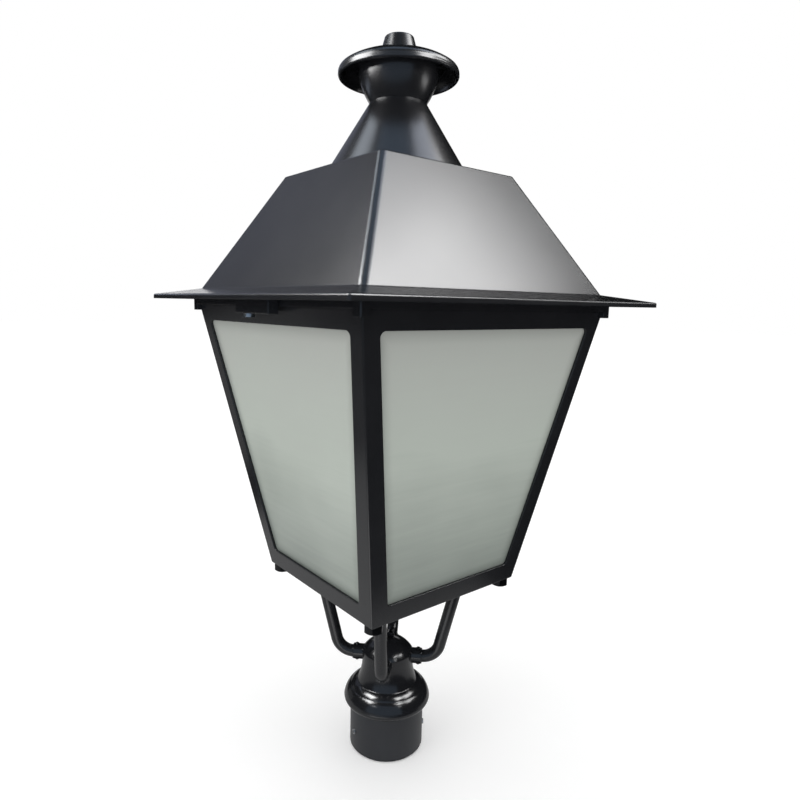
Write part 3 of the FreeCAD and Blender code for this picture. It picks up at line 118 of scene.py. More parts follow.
def node(tree: bpy.types.NodeTree, kind: str, inputs: Optional[dict[Any, Any]] = None,
         stops: tuple[tuple[float, str], ...] = (), **settings: Any) -> bpy.types.Node:
    """Add a shader node, set it up and link it.

    Args:
        tree: Node tree that takes the node.
        kind: Node type, without its "ShaderNode" prefix.
        inputs: Values or output sockets by input name or number.
        stops: Positions with hex colours, where the node has a colour ramp.
        **settings: Attributes of the node.

    Returns:
        The new node.
    """
    item = tree.nodes.new("ShaderNode" + kind)
    for name, value in settings.items():
        setattr(item, name, value)
    for key, value in (inputs or {}).items():
        if isinstance(value, bpy.types.NodeSocket):
            tree.links.new(value, item.inputs[key])
        else:
            item.inputs[key].default_value = value
    if stops:
        marks = item.color_ramp.elements
        while len(marks) < len(stops):
            marks.new(0.5)
        for mark, (position, code) in zip(marks, stops):
            mark.position = position
            mark.color = linear(code)
    return item


@dataclass(frozen=True)
class Finish:
    """A surface finish: two close body colours and a roughness. Its material is made once and shared."""

    name: str
    colour: str
    second: str
    roughness: float

    def material(self) -> bpy.types.Material:
        """Return the finish's material, made at its first use."""
        return bpy.data.materials.get(self.name) or self.make()

    def make(self) -> bpy.types.Material:
        """Make the material from a principled shader and what the finish feeds to it.

        Returns:
            The new material.
        """
        material = bpy.data.materials.new(self.name)
        material.use_nodes = True
        tree = material.node_tree
        tree.nodes.clear()
        shader = node(tree, "BsdfPrincipled", self.mix(tree, node(tree, "TexCoord").outputs["Object"]))
        node(tree, "OutputMaterial", {"Surface": shader.outputs["BSDF"]})
        return material

    def mix(self, tree: bpy.types.NodeTree, coords: bpy.types.NodeSocket) -> dict[str, Any]:
        """Work out what the shader gets.

        Args:
            tree: Node tree that takes the pattern.
            coords: Object coordinates.

        Returns:
            Values or sockets by the shader's inputs.
        """
        raise NotImplementedError(self.name)


@dataclass(frozen=True)
class Paint(Finish):
    """Baked paint on cast or sheet metal: a film with orange peel, soft gloss and lit edges."""

    spread: float = 0.01
    peel_mm: float = 5.0
    peel_depth_mm: float = 0.005
    mottle_mm: float = 60.0
    mottle_span: tuple[float, float] = (0.32, 0.68)
    edge_mm: float = 1.5
    ior: float = 1.5

    def mix(self, tree: bpy.types.NodeTree, coords: bpy.types.NodeSocket) -> dict[str, Any]:
        """Work out the paint.

        Args:
            tree: Node tree that takes the pattern.
            coords: Object coordinates.

        Returns:
            Values or sockets by the shader's inputs.
        """
        mottle = node(tree, "TexNoise", {"Vector": coords, "Scale": 1 / (self.mottle_mm * MM), "Detail": 3.0,
                                         "Roughness": 0.6}).outputs["Fac"]
        thin, thick = self.mottle_span
        colour = node(tree, "ValToRGB", {"Fac": mottle}, ((thin, self.colour), (thick, self.second)))
        gloss = node(tree, "MapRange", {"Value": mottle, "From Min": NOISE_LOW, "From Max": NOISE_HIGH,
                                        "To Min": self.roughness - self.spread,
                                        "To Max": self.roughness + self.spread})
        edge = node(tree, "Bevel", {"Radius": self.edge_mm * MM}, samples=6)
        peel = node(tree, "TexNoise", {"Vector": coords, "Scale": 1 / (self.peel_mm * MM), "Detail": 1.0})
        bump = node(tree, "Bump", {"Height": peel.outputs["Fac"], "Strength": 0.5,
                                   "Distance": self.peel_depth_mm * MM, "Normal": edge.outputs["Normal"]})
        return {"Base Color": colour.outputs["Color"], "Roughness": gloss.outputs["Result"], "IOR": self.ior,
                "Normal": bump.outputs["Normal"]}


@dataclass(frozen=True)
class Opal(Finish):
    """Frosted opal acrylic sheet: milky, a little green, with faint drawn streaks and painted shade at its
    foot and beside the frame.

    The foot and the head of a window are given by their height and half width, the reach of the foot's
    painted shade by its two heights.
    """

    # Colour at the foot: painted shade, darker where the sheet sees less light
    foot: str
    foot_shade_reach_mm: tuple[float, float]
    window_foot_mm: tuple[float, float]
    window_head_mm: tuple[float, float]
    edge_mm: float = 14.0
    edge_shade: float = 0.80
    middle: float = 0.55
    cloud_mm: float = 90.0
    cloud_sway: float = 0.12
    streak_mm: float = 5.0
    streak_sway: float = 0.07
    streak_scale: tuple[float, float, float] = (0.06, 0.06, 1.0)
    # The real frost is too fine to show and is drawn coarser
    frost_mm: float = 1.2
    frost_depth_mm: float = 0.01
    ior: float = 1.49

    def edge(self, tree: bpy.types.NodeTree, coords: bpy.types.NodeSocket) -> bpy.types.NodeSocket:
        """Shade beside the frame, where the sheet sees less light.

        Args:
            tree: Node tree that takes the nodes.
            coords: Object coordinates.

        Returns:
            Socket with a factor for the colour, one away from the frame.
        """
        foot, foot_half = (v * MM for v in self.window_foot_mm)
        head, head_half = (v * MM for v in self.window_head_mm)
        size = node(tree, "VectorMath", {0: coords}, operation="ABSOLUTE")
        parts = node(tree, "SeparateXYZ", {"Vector": size.outputs["Vector"]}).outputs
        across = node(tree, "Math", {0: parts["X"], 1: parts["Y"]}, operation="MINIMUM")
        half = node(tree, "MapRange", {"Value": parts["Z"], "From Min": foot, "From Max": head,
                                       "To Min": foot_half, "To Max": head_half}, clamp=False)
        gaps = ((half.outputs["Result"], across.outputs["Value"]), (parts["Z"], foot), (head, parts["Z"]))
        side, sill, lintel = (node(tree, "Math", {0: far, 1: near}, operation="SUBTRACT").outputs["Value"]
                              for far, near in gaps)
        level = node(tree, "Math", {0: sill, 1: lintel}, operation="MINIMUM")
        least = node(tree, "Math", {0: side, 1: level.outputs["Value"]}, operation="MINIMUM")
        shade = node(tree, "MapRange", {"Value": least.outputs["Value"], "From Max": self.edge_mm * MM,
                                        "To Min": self.edge_shade}, interpolation_type="SMOOTHSTEP")
        return shade.outputs["Result"]

    def mix(self, tree: bpy.types.NodeTree, coords: bpy.types.NodeSocket) -> dict[str, Any]:
        """Work out the sheet.

        Args:
            tree: Node tree that takes the pattern.
            coords: Object coordinates.

        Returns:
            Values or sockets by the shader's inputs.
        """
        low, high = (v * MM for v in self.foot_shade_reach_mm)
        height = node(tree, "SeparateXYZ", {"Vector": coords}).outputs["Z"]
        cloud = node(tree, "TexNoise", {"Vector": coords, "Scale": 1 / (self.cloud_mm * MM), "Detail": 2.0})
        drawn = node(tree, "Mapping", {"Vector": coords, "Scale": self.streak_scale}).outputs["Vector"]
        streak = node(tree, "TexNoise", {"Vector": drawn, "Scale": 1 / (self.streak_mm * MM), "Detail": 2.0})
        # Painted shade: the colour darkens from the middle of the sheet towards its foot
        tone = node(tree, "MapRange", {"Value": height, "From Min": low, "From Max": high}).outputs["Result"]
        for pattern, sway in ((cloud, self.cloud_sway), (streak, self.streak_sway)):
            part = node(tree, "MapRange", {"Value": pattern.outputs["Fac"], "To Min": -sway, "To Max": sway})
            tone = node(tree, "Math", {0: tone, 1: part.outputs["Result"]}, operation="ADD").outputs["Value"]
        colour = node(tree, "ValToRGB", {"Fac": tone},
                      ((0.0, self.foot), (self.middle, self.second), (1.0, self.colour)))
        # Painted shade beside the frame darkens the colour there
        shaded = node(tree, "VectorMath", {0: colour.outputs["Color"], "Scale": self.edge(tree, coords)},
                      operation="SCALE")
        frost = node(tree, "TexNoise", {"Vector": coords, "Scale": 1 / (self.frost_mm * MM), "Detail": 2.0})
        bump = node(tree, "Bump", {"Height": frost.outputs["Fac"], "Strength": 0.3,
                                   "Distance": self.frost_depth_mm * MM})
        return {"Base Color": shaded.outputs["Vector"], "Roughness": self.roughness, "IOR": self.ior,
                "Normal": bump.outputs["Normal"]}


@dataclass(frozen=True)
class Metal(Finish):
    """Bare or plated metal with a grain that follows how it was worked."""

    grain: Grain = Grain.ROLLED
    # The real grain is too fine to show and is drawn coarser
    grain_mm: float = 0.8
    grain_depth_mm: float = 0.01
    spread: float = 0.2

    def mix(self, tree: bpy.types.NodeTree, coords: bpy.types.NodeSocket) -> dict[str, Any]:
        """Work out the metal.

        Args:
            tree: Node tree that takes the pattern.
            coords: Object coordinates.

        Returns:
            Values or sockets by the shader's inputs.
        """
        laid = node(tree, "Mapping", {"Vector": coords, "Scale": self.grain.value}).outputs["Vector"]
        grain = node(tree, "TexNoise", {"Vector": laid, "Scale": 1 / (self.grain_mm * MM),
                                        "Detail": 3.0}).outputs["Fac"]
        colour = node(tree, "ValToRGB", {"Fac": grain}, ((NOISE_LOW, self.colour), (NOISE_HIGH, self.second)))
        gloss = node(tree, "MapRange", {"Value": grain, "From Min": NOISE_LOW, "From Max": NOISE_HIGH,
                                        "To Min": self.roughness * (1 - self.spread),
                                        "To Max": self.roughness * (1 + self.spread)})
        bump = node(tree, "Bump", {"Height": grain, "Strength": 0.4, "Distance": self.grain_depth_mm * MM})
        return {"Base Color": colour.outputs["Color"], "Roughness": gloss.outputs["Result"], "Metallic": 1.0,
                "Normal": bump.outputs["Normal"]}


@dataclass(frozen=True)
class Moulded(Finish):
    """Moulded rubber, resin or plastic: one body colour, a fine spark-eroded grain, a dull or satin face."""

    # The real grain is too fine to show and is drawn coarser
    grain_mm: float = 0.9
    grain_depth_mm: float = 0.03
    ior: float = 1.5

    def mix(self, tree: bpy.types.NodeTree, coords: bpy.types.NodeSocket) -> dict[str, Any]:
        """Work out the plastic or rubber.

        Args:
            tree: Node tree that takes the pattern.
            coords: Object coordinates.

        Returns:
            Values or sockets by the shader's inputs.
        """
        grain = node(tree, "TexNoise", {"Vector": coords, "Scale": 1 / (self.grain_mm * MM),
                                        "Detail": 2.0}).outputs["Fac"]
        colour = node(tree, "ValToRGB", {"Fac": grain}, ((NOISE_LOW, self.colour), (NOISE_HIGH, self.second)))
        bump = node(tree, "Bump", {"Height": grain, "Strength": 0.4, "Distance": self.grain_depth_mm * MM})
        return {"Base Color": colour.outputs["Color"], "Roughness": self.roughness, "IOR": self.ior,
                "Normal": bump.outputs["Normal"]}


# Polyester paint baked on cast aluminium: near black with a soft gloss and a faint orange peel
GLOSS_PAINT = Paint("baked_polyester_paint_on_cast_aluminium", "#17181b", "#1b1c1f", 0.26)
# The same paint run thick on the small hub casting: wet-looking and sharper in its gloss
HUB_PAINT = Paint("thick_baked_paint_on_cast_hub", "#17181b", "#1b1c1f", 0.17)
# The same paint on the thin tube of the socket: duller and a little blue
SATIN_PAINT = Paint("satin_baked_paint_on_tube", "#1e2025", "#22252a", 0.42, peel_mm=3.5)
# Frosted opal acrylic: milky grey-green sheet behind the windows, with painted shade at its foot and beside
# the frame
OPAL_SHEET = Opal("frosted_opal_acrylic_sheet", "#a6a9a4", "#a9b0a8", 0.34, foot="#7f8680",
                  foot_shade_reach_mm=(232.0, 508.0), window_foot_mm=(237.8, 84.2), window_head_mm=(502.3, 137.2))
# Zinc plate on turned steel: pale grey with a fine even grain
ZINC_STEEL = Metal("zinc_plated_turned_steel", "#b4b6b8", "#9fa1a4", 0.3)
# Black oxide on rolled steel: dark metal that keeps a soft glint
BLACK_STEEL = Metal("black_oxide_rolled_steel", "#3a3b3d", "#2c2d2f", 0.38)
# Moulded rubber: matte black with a dry grain
RUBBER = Moulded("moulded_epdm_rubber", "#151515", "#1d1d1d", 0.78, ior=1.52)
# Powder coat on sheet steel: dull white with a fine peel
WHITE_PAINT = Paint("white_powder_coat_on_sheet", "#d9d9d4", "#e2e2de", 0.48, peel_mm=3.0)
# Extruded aluminium: pale drawn lines along the fins
EXTRUSION = Metal("extruded_aluminium", "#c6c8ca", "#aeb0b3", 0.34, Grain.DRAWN)
# Solder mask on aluminium board: smooth white resin
BOARD_WHITE = Moulded("white_solder_mask_on_aluminium_board", "#e4e4df", "#ecece8", 0.3, grain_depth_mm=0.005)
# Silicone loaded with phosphor over each chip: warm yellow and smooth
PHOSPHOR = Moulded("phosphor_filled_silicone", "#e3b43a", "#edc455", 0.35, grain_depth_mm=0.005)
# Moulded flame-proof plastic of the driver: pale grey, spark-eroded grain
DRIVER_PLASTIC = Moulded("moulded_pale_grey_polycarbonate", "#c6c8c8", "#d0d2d2", 0.45)
# Moulded polyamide of the terminals: dark and dull
TERMINAL_PLASTIC = Moulded("moulded_dark_polyamide", "#2b2c2e", "#353638", 0.55)


def rod(radius_mm: float, low_mm: float, high_mm: float, sides: int = 40) -> bpy.types.Object:
    """Add an upright rod or prism about the Z axis.

    Args:
        radius_mm: Radius to its corners.
        low_mm: Height of its lower end.
        high_mm: Height of its upper end.
        sides: Number of sides.

    Returns:
        The rod, its place in its mesh.
    """
    bpy.ops.object.select_all(action="DESELECT")
    bpy.ops.mesh.primitive_cylinder_add(vertices=sides, radius=radius_mm * MM, depth=(high_mm - low_mm) * MM,
                                        location=(0.0, 0.0, (low_mm + high_mm) / 2 * MM))
    bpy.ops.object.transform_apply(location=True, rotation=True, scale=True)
    return bpy.context.active_object


def hexagon(flats_mm: float, low_mm: float, high_mm: float) -> bpy.types.Object:
    """Add an upright hexagon prism, by its width across flats and the heights of its ends."""
    return rod(flats_mm / math.sqrt(3), low_mm, high_mm, sides=6)


def bar(length_mm: float, wide_mm: float, low_mm: float, high_mm: float,
        narrow: float = 0.67) -> bpy.types.Object:
    """Add an upright bar that is shorter at its lower end.

    Args:
        length_mm: Length along X at the top.
        wide_mm: Width along Y.
        low_mm: Height of its lower end.
        high_mm: Height of its upper end.
        narrow: Share of the length that is left at the lower end.

    Returns:
        The bar, its place in its mesh.
    """
    bpy.ops.object.select_all(action="DESELECT")
    bpy.ops.mesh.primitive_cube_add(size=1.0, location=(0.0, 0.0, (low_mm + high_mm) / 2 * MM),
                                    scale=(length_mm * MM, wide_mm * MM, (high_mm - low_mm) * MM))
    bpy.ops.object.transform_apply(location=True, rotation=True, scale=True)
    piece = bpy.context.active_object
    select(piece, lambda middle, normal: normal.z < -FACING)
    bpy.ops.transform.resize(value=(narrow, 1.0, 1.0), center_override=(0.0, 0.0, low_mm * MM))
    bpy.ops.object.mode_set(mode="OBJECT")
    return piece


def select(piece: bpy.types.Object, wanted: Callable[[Vector, Vector], bool],
           pick: Pick = Pick.FACES) -> None:
    """Open a piece in edit mode with the wanted faces or edges selected.

    Args:
        piece: Piece to open.
        wanted: Test on a face's middle and normal, or on an edge's middle and direction.
        pick: Whether faces or edges are tested.
    """
    bpy.ops.object.select_all(action="DESELECT")
    bpy.context.view_layer.objects.active = piece
    piece.select_set(True)
    bpy.ops.object.mode_set(mode="EDIT")
    bpy.ops.mesh.select_mode(type=pick.value)
    bpy.ops.mesh.select_all(action="DESELECT")
    bpy.ops.object.mode_set(mode="OBJECT")
    mesh = piece.data
    if pick is Pick.FACES:
        for face in mesh.polygons:
            face.select = wanted(face.center, face.normal)
    else:
        for edge in mesh.edges:
            one, two = (mesh.vertices[i].co for i in edge.vertices)
            edge.select = wanted((one + two) / 2, (two - one).normalized())
    bpy.ops.object.mode_set(mode="EDIT")


def chamfer(piece: bpy.types.Object, level_mm: float, width_mm: float, segments: int = 1) -> None:
    """Break or round the rim of an upright piece at one level.

    Args:
        piece: Piece to work on.
        level_mm: Height of the rim.
        width_mm: Width of the bevel.
        segments: One for a chamfer, more for a round.
    """
    select(piece, lambda middle, way: abs(middle.z - level_mm * MM) < SAME and abs(way.z) < LEVEL, Pick.EDGES)
    bpy.ops.mesh.bevel(offset=width_mm * MM, segments=segments, affect="EDGES")
    bpy.ops.object.mode_set(mode="OBJECT")


def taper(piece: bpy.types.Object, up: float, rise_mm: float, narrow: float) -> None:
    """Extend one end of an upright piece into a short cone.

    Args:
        piece: Piece to work on.
        up: One for the upper end, minus one for the lower.
        rise_mm: Height of the cone.
        narrow: Share of the radius that is left at its end.
    """
    select(piece, lambda middle, normal: normal.z * up > FACING)
    bpy.ops.mesh.extrude_region_move(TRANSFORM_OT_translate={"value": (0.0, 0.0, up * rise_mm * MM)})
    bpy.ops.transform.resize(value=(narrow, narrow, 1.0), center_override=ORIGIN)
    bpy.ops.object.mode_set(mode="OBJECT")


def combine(piece: bpy.types.Object, tool: bpy.types.Object, how: Join) -> None:
    """Let one solid act on another, and remove it.

    Args:
        piece: Solid that stays.
        tool: Solid that acts on it.
        how: Cut, meet or fuse.
    """
    change = piece.modifiers.new("combine", "BOOLEAN")
    change.operation, change.object, change.solver = how.value, tool, "EXACT"
    bpy.ops.object.select_all(action="DESELECT")
    bpy.context.view_layer.objects.active = piece
    piece.select_set(True)
    bpy.ops.object.modifier_apply(modifier=change.name)
    bpy.data.objects.remove(tool)


def place(x_mm: float, y_mm: float, z_mm: float, way: tuple[float, float, float] = UP,
          turn_deg: float = 0.0) -> Matrix:
    """Place for a piece that was modelled upright at the origin.

    Args:
        x_mm: Place along X.
        y_mm: Place along Y.
        z_mm: Place along Z.
        way: Direction that the piece's own Z axis takes.
        turn_deg: Turn about the piece's own axis.

    Returns:
        The place as a matrix.
    """
    facing = Vector(way).to_track_quat("Z", "Y").to_matrix().to_4x4()
    spun = Matrix.Rotation(math.radians(turn_deg), 4, "Z")
    return Matrix.Translation(Vector((x_mm, y_mm, z_mm)) * MM) @ facing @ spun


def set_out(master: bpy.types.Object, name: str, places: list[Matrix], carrier: Carrier, finish: Finish,
            instead_of: Optional[str] = None) -> None:
    """Copy a finished piece to its places as one piece and fasten it to its body.

    Args:
        master: Piece modelled once, upright at the origin. It is used up.
        name: Name of the new piece.
        places: Where the copies go.
        carrier: Body that carries them.
        finish: Their finish.
        instead_of: CAD node that they stand for.
    """
    copies = []
    for spot in places:
        twin = bpy.data.objects.new(name, master.data.copy())
        bpy.context.scene.collection.objects.link(twin)
        twin.matrix_world = spot
        copies.append(twin)
    bpy.data.objects.remove(master)
    bpy.ops.object.select_all(action="DESELECT")
    for twin in copies:
        twin.select_set(True)
    bpy.context.view_layer.objects.active = copies[0]
    bpy.ops.object.transform_apply(location=True, rotation=True, scale=True)
    bpy.ops.object.join()
    piece = bpy.context.active_object
    piece.name = name
    bpy.ops.object.shade_smooth_by_angle(angle=math.radians(SMOOTH_DEG))
    piece.data.materials.clear()
    piece.data.materials.append(finish.material())
    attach(piece, carrier.value)
    if instead_of:
        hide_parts(instead_of)
    LOG.info("set out %s in %d places", name, len(places))


@dataclass(frozen=True)
class GrubScrew:
    """Set screw with a hexagon socket and a cone point, its outer end at zero. Sizes in millimetres."""

    radius: float
    length: float
    socket: float
    socket_deep: float
    rim: float = 0.45
    point: float = 1.2

    def build(self) -> bpy.types.Object:
        """Model the screw upright at the origin.

        Returns:
            The screw.
        """
        screw = rod(self.radius, -self.length, 0.0)
        chamfer(screw, 0.0, self.rim)
        chamfer(screw, -self.length, self.point)
        combine(screw, hexagon(self.socket, -self.socket_deep, PAST), Join.CUT)
        return screw


@dataclass(frozen=True)
class HexForm:
    """Hexagon of a bolt's head or a nut, with the chamfer that turning leaves on it. Sizes in millimetres."""

    flats: float
    high: float

    # Radius of the round face that a chamfer leaves, as a share of the width across flats
    CROWN: ClassVar[float] = 0.475
    SLOPE_DEG: ClassVar[float] = 30.0

    def corner(self) -> float:
        """Radius to the corners."""
        return self.flats / math.sqrt(3)

    def crown(self) -> float:
        """Radius of the circle that the chamfer leaves at the end."""
        return self.CROWN * self.flats

    def rise(self) -> float:
        """Height of the chamfer at the corners."""
        return (self.corner() - self.crown()) * math.tan(math.radians(self.SLOPE_DEG))

    def blank(self, low: float, ends: tuple[float, ...]) -> bpy.types.Object:
        """Model the hexagon upright.

        Args:
            low: Height where it starts, or where its lower chamfer ends.
            ends: Ends with a chamfer, one for the upper and minus one for the lower.

        Returns:
            The hexagon.
        """
        turned = rod(self.corner(), low, self.high - self.rise())
        for end in ends:
            taper(turned, end, self.rise(), self.crown() / self.corner())
        form = hexagon(self.flats, -PAST, self.high + PAST)
        combine(form, turned, Join.MEET)
        return form


@dataclass(frozen=True)
class HexBolt(HexForm):
    """Hexagon bolt with its head above zero and its shank below. Sizes in millimetres."""

    shank_radius: float
    shank: float
    washer: float = 0.4
    washer_lap: float = 0.1
    tip: float = 0.2

    def build(self) -> bpy.types.Object:
        """Model the bolt upright at the origin.

        Returns:
            The bolt.
        """
        bolt = self.blank(self.washer, (1.0,))
        combine(bolt, rod(self.crown(), 0.0, self.washer + self.washer_lap), Join.FUSE)
        shank = rod(self.shank_radius, -self.shank, INTO)
        chamfer(shank, -self.shank, self.shank_radius * self.tip)
        combine(bolt, shank, Join.FUSE)
        return bolt


@dataclass(frozen=True)
class HexNut(HexForm):
    """Hexagon nut on zero, chamfered at both ends, with a countersunk bore. Sizes in millimetres."""

    bore: float
    sink: float = 0.5
    sink_wide: float = 1.3

    def build(self) -> bpy.types.Object:
        """Model the nut upright at the origin.

        Returns:
            The nut.
        """
        nut = self.blank(self.rise(), (1.0, -1.0))
        bore = rod(self.bore, self.sink, self.high - self.sink)
        for end in (1.0, -1.0):
            taper(bore, end, 2 * self.sink, self.sink_wide)
        combine(nut, bore, Join.CUT)
        return nut


@dataclass(frozen=True)
class PanScrew:
    """Pan-head screw with a cross recess, its head above zero and its shank below. Sizes in millimetres."""

    head_radius: float
    head: float
    shank_radius: float
    shank: float
    head_round: float = 0.6
    tip: float = 0.3
    recess: float = 3.8
    recess_wide: float = 0.8
    recess_deep: float = 1.3

    def build(self) -> bpy.types.Object:
        """Model the screw upright at the origin.

        Returns:
            The screw.
        """
        screw = rod(self.head_radius, 0.0, self.head)
        chamfer(screw, self.head, self.head * self.head_round, segments=5)
        shank = rod(self.shank_radius, -self.shank, INTO, sides=24)
        chamfer(shank, -self.shank, self.shank_radius * self.tip)
        combine(screw, shank, Join.FUSE)
        for quarter in (0.0, 90.0):
            wing = bar(self.recess, self.recess_wide, self.head - self.recess_deep, self.head + SLOT_PAST)
            wing.data.transform(Matrix.Rotation(math.radians(quarter), 4, "Z"))
            combine(screw, wing, Join.CUT)
        return screw


@dataclass(frozen=True)
class ClampScrew:
    """Head of a slotted clamping screw, standing on zero. Sizes in millimetres."""

    radius: float
    high: float
    rim: float = 0.35
    slot_long: float = 9.28
    slot_wide: float = 0.8
    slot_deep: float = 1.1

    def build(self) -> bpy.types.Object:
        """Model the head upright at the origin.

        Returns:
            The head.
        """
        screw = rod(self.radius, 0.0, self.high)
        chamfer(screw, self.high, self.rim, segments=2)
        slot = bar(self.slot_long, self.slot_wide, self.high - self.slot_deep, self.high + SLOT_PAST)
        combine(screw, slot, Join.CUT)
        return screw


@dataclass(frozen=True)
class Lens:
    """Resin lens over a chip: a sphere cut in half and flattened, on zero. Sizes in millimetres."""

    radius: float
    high: float
    segments: int = 24
    rings: int = 12

    def build(self) -> bpy.types.Object:
        """Model the lens upright at the origin.

        Returns:
            The lens.
        """
        bpy.ops.object.select_all(action="DESELECT")
        bpy.ops.mesh.primitive_uv_sphere_add(segments=self.segments, ring_count=self.rings,
                                             radius=self.radius * MM)
        piece = bpy.context.active_object
        select(piece, lambda middle, normal: True)
        bpy.ops.mesh.bisect(plane_co=ORIGIN, plane_no=UP, use_fill=True, clear_inner=True)
        bpy.ops.mesh.select_all(action="SELECT")
        bpy.ops.transform.resize(value=(1.0, 1.0, self.high / self.radius), center_override=ORIGIN)
        bpy.ops.mesh.normals_make_consistent(inside=False)
        bpy.ops.object.mode_set(mode="OBJECT")
        return piece


class Assembly:
    """A group of CAD nodes, their finishes and the small pieces that are modelled for it here."""

    FINISHES: ClassVar[dict[Finish, list[str]]] = {}

    def build(self) -> None:
        """Model the small pieces. A group that has none keeps its CAD nodes as they are."""

    def dress(self) -> None:
        """Give every CAD node of the group its finish."""
        for finish, names in self.FINISHES.items():
            for name in names:
                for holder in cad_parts[name].material_slots:
                    holder.material = finish.material()
                LOG.info("dressed %s with %s", name, finish.name)


@dataclass(frozen=True)
class PoleMount(Assembly):
    """Socket tube, hub casting and the four arms with their fasteners. Sizes in millimetres."""

    FINISHES: ClassVar[dict[Finish, list[str]]] = {
        HUB_PAINT: ["hub_casting"],
        GLOSS_PAINT: ["arm_front", "arm_left", "arm_right", "arm_rear"],
        SATIN_PAINT: ["post_socket", "base_plate"],
        RUBBER: ["cable_grommet"],
    }

    pole_screw: GrubScrew = GrubScrew(3.0, 5.8, 3.0, 2.4)
    pole_screw_out: float = 45.0
    pole_screw_up: float = 24.0
    pole_screw_bearings: tuple[float, ...] = (172.0, 320.0)
    arm_screw: GrubScrew = GrubScrew(2.5, 5.35, 2.5, 2.0)
    arm_screw_at: float = 25.95
    arm_screw_ends: tuple[float, float] = (121.65, 100.95)
    arm_bolt: HexBolt = HexBolt(10.0, 4.0, 3.0, 11.0)
    arm_bolt_at: float = 59.54
    corner_bolt: HexBolt = HexBolt(17.0, 9.3, 4.0, 15.5)
    corner_bolt_at: float = 90.1
    corner_bolt_turn: float = 45.0
    body_low: float = 217.5
    corner_nut: HexNut = HexNut(13.0, 6.5, 4.05)
    plate_top: float = 224.5

    def corners(self, at: float) -> list[tuple[float, float, float]]:
        """Four places on the diagonals, each with the bearing of its corner."""
        return [(x * at, y * at, math.degrees(math.atan2(y, x))) for x in (-1, 1) for y in (-1, 1)]

    def on_plate(self, at: float) -> list[Matrix]:
        """Four places on the plate, each turned to its corner."""
        return [place(x, y, self.plate_top, turn_deg=turn) for x, y, turn in self.corners(at)]

    def build(self) -> None:
        """Model the fasteners of the pole mount."""
        out, up = self.pole_screw_out, self.pole_screw_up
        ways = [(math.cos(math.radians(b)), math.sin(math.radians(b)), 0.0) for b in self.pole_screw_bearings]
        set_out(self.pole_screw.build(), "pole_grub_screws",
                [place(way[0] * out, way[1] * out, up, way) for way in ways],
                Carrier.LANTERN, ZINC_STEEL, "pole_screws")
        upper, lower = self.arm_screw_ends
        set_out(self.arm_screw.build(), "arm_grub_screws",
                [place(x, y, z, way) for x, y, _ in self.corners(self.arm_screw_at)
                 for z, way in ((upper, UP), (lower, DOWN))],
                Carrier.LANTERN, BLACK_STEEL, "arm_set_screws")
        set_out(self.arm_bolt.build(), "arm_hex_bolts", self.on_plate(self.arm_bolt_at),
                Carrier.LANTERN, ZINC_STEEL, "arm_bolts")
        set_out(self.corner_bolt.build(), "corner_hex_bolts",
                [place(x, y, self.body_low, DOWN, self.corner_bolt_turn)
                 for x, y, _ in self.corners(self.corner_bolt_at)],
                Carrier.LANTERN, BLACK_STEEL, "corner_bolts")
        set_out(self.corner_nut.build(), "corner_hex_nuts", self.on_plate(self.corner_bolt_at),
                Carrier.LANTERN, ZINC_STEEL, "corner_nuts")


@dataclass(frozen=True)
class GlazedBody(Assembly):
    """Tapered frame, opal panes, their clips, the ring and its gasket."""

    FINISHES: ClassVar[dict[Finish, list[str]]] = {
        GLOSS_PAINT: ["body_frame", "top_ring"],
        OPAL_SHEET: ["pane_front", "pane_left", "pane_rear", "pane_right"],
        ZINC_STEEL: ["pane_clips"],
        RUBBER: ["roof_gasket"],
    }


@dataclass(frozen=True)
class Roof(Assembly):
    """Roof shell, chimney, saucer cap and knob, with the hinge and the latch."""

    FINISHES: ClassVar[dict[Finish, list[str]]] = {
        GLOSS_PAINT: ["roof_shell", "chimney_cone", "chimney_bell", "cap_disc", "finial_knob", "latch_block"],
        SATIN_PAINT: ["hinge_leaf_ring", "hinge_leaf_roof"],
        ZINC_STEEL: ["latch_cam", "hinge_pin", "tie_bolt"],
    }


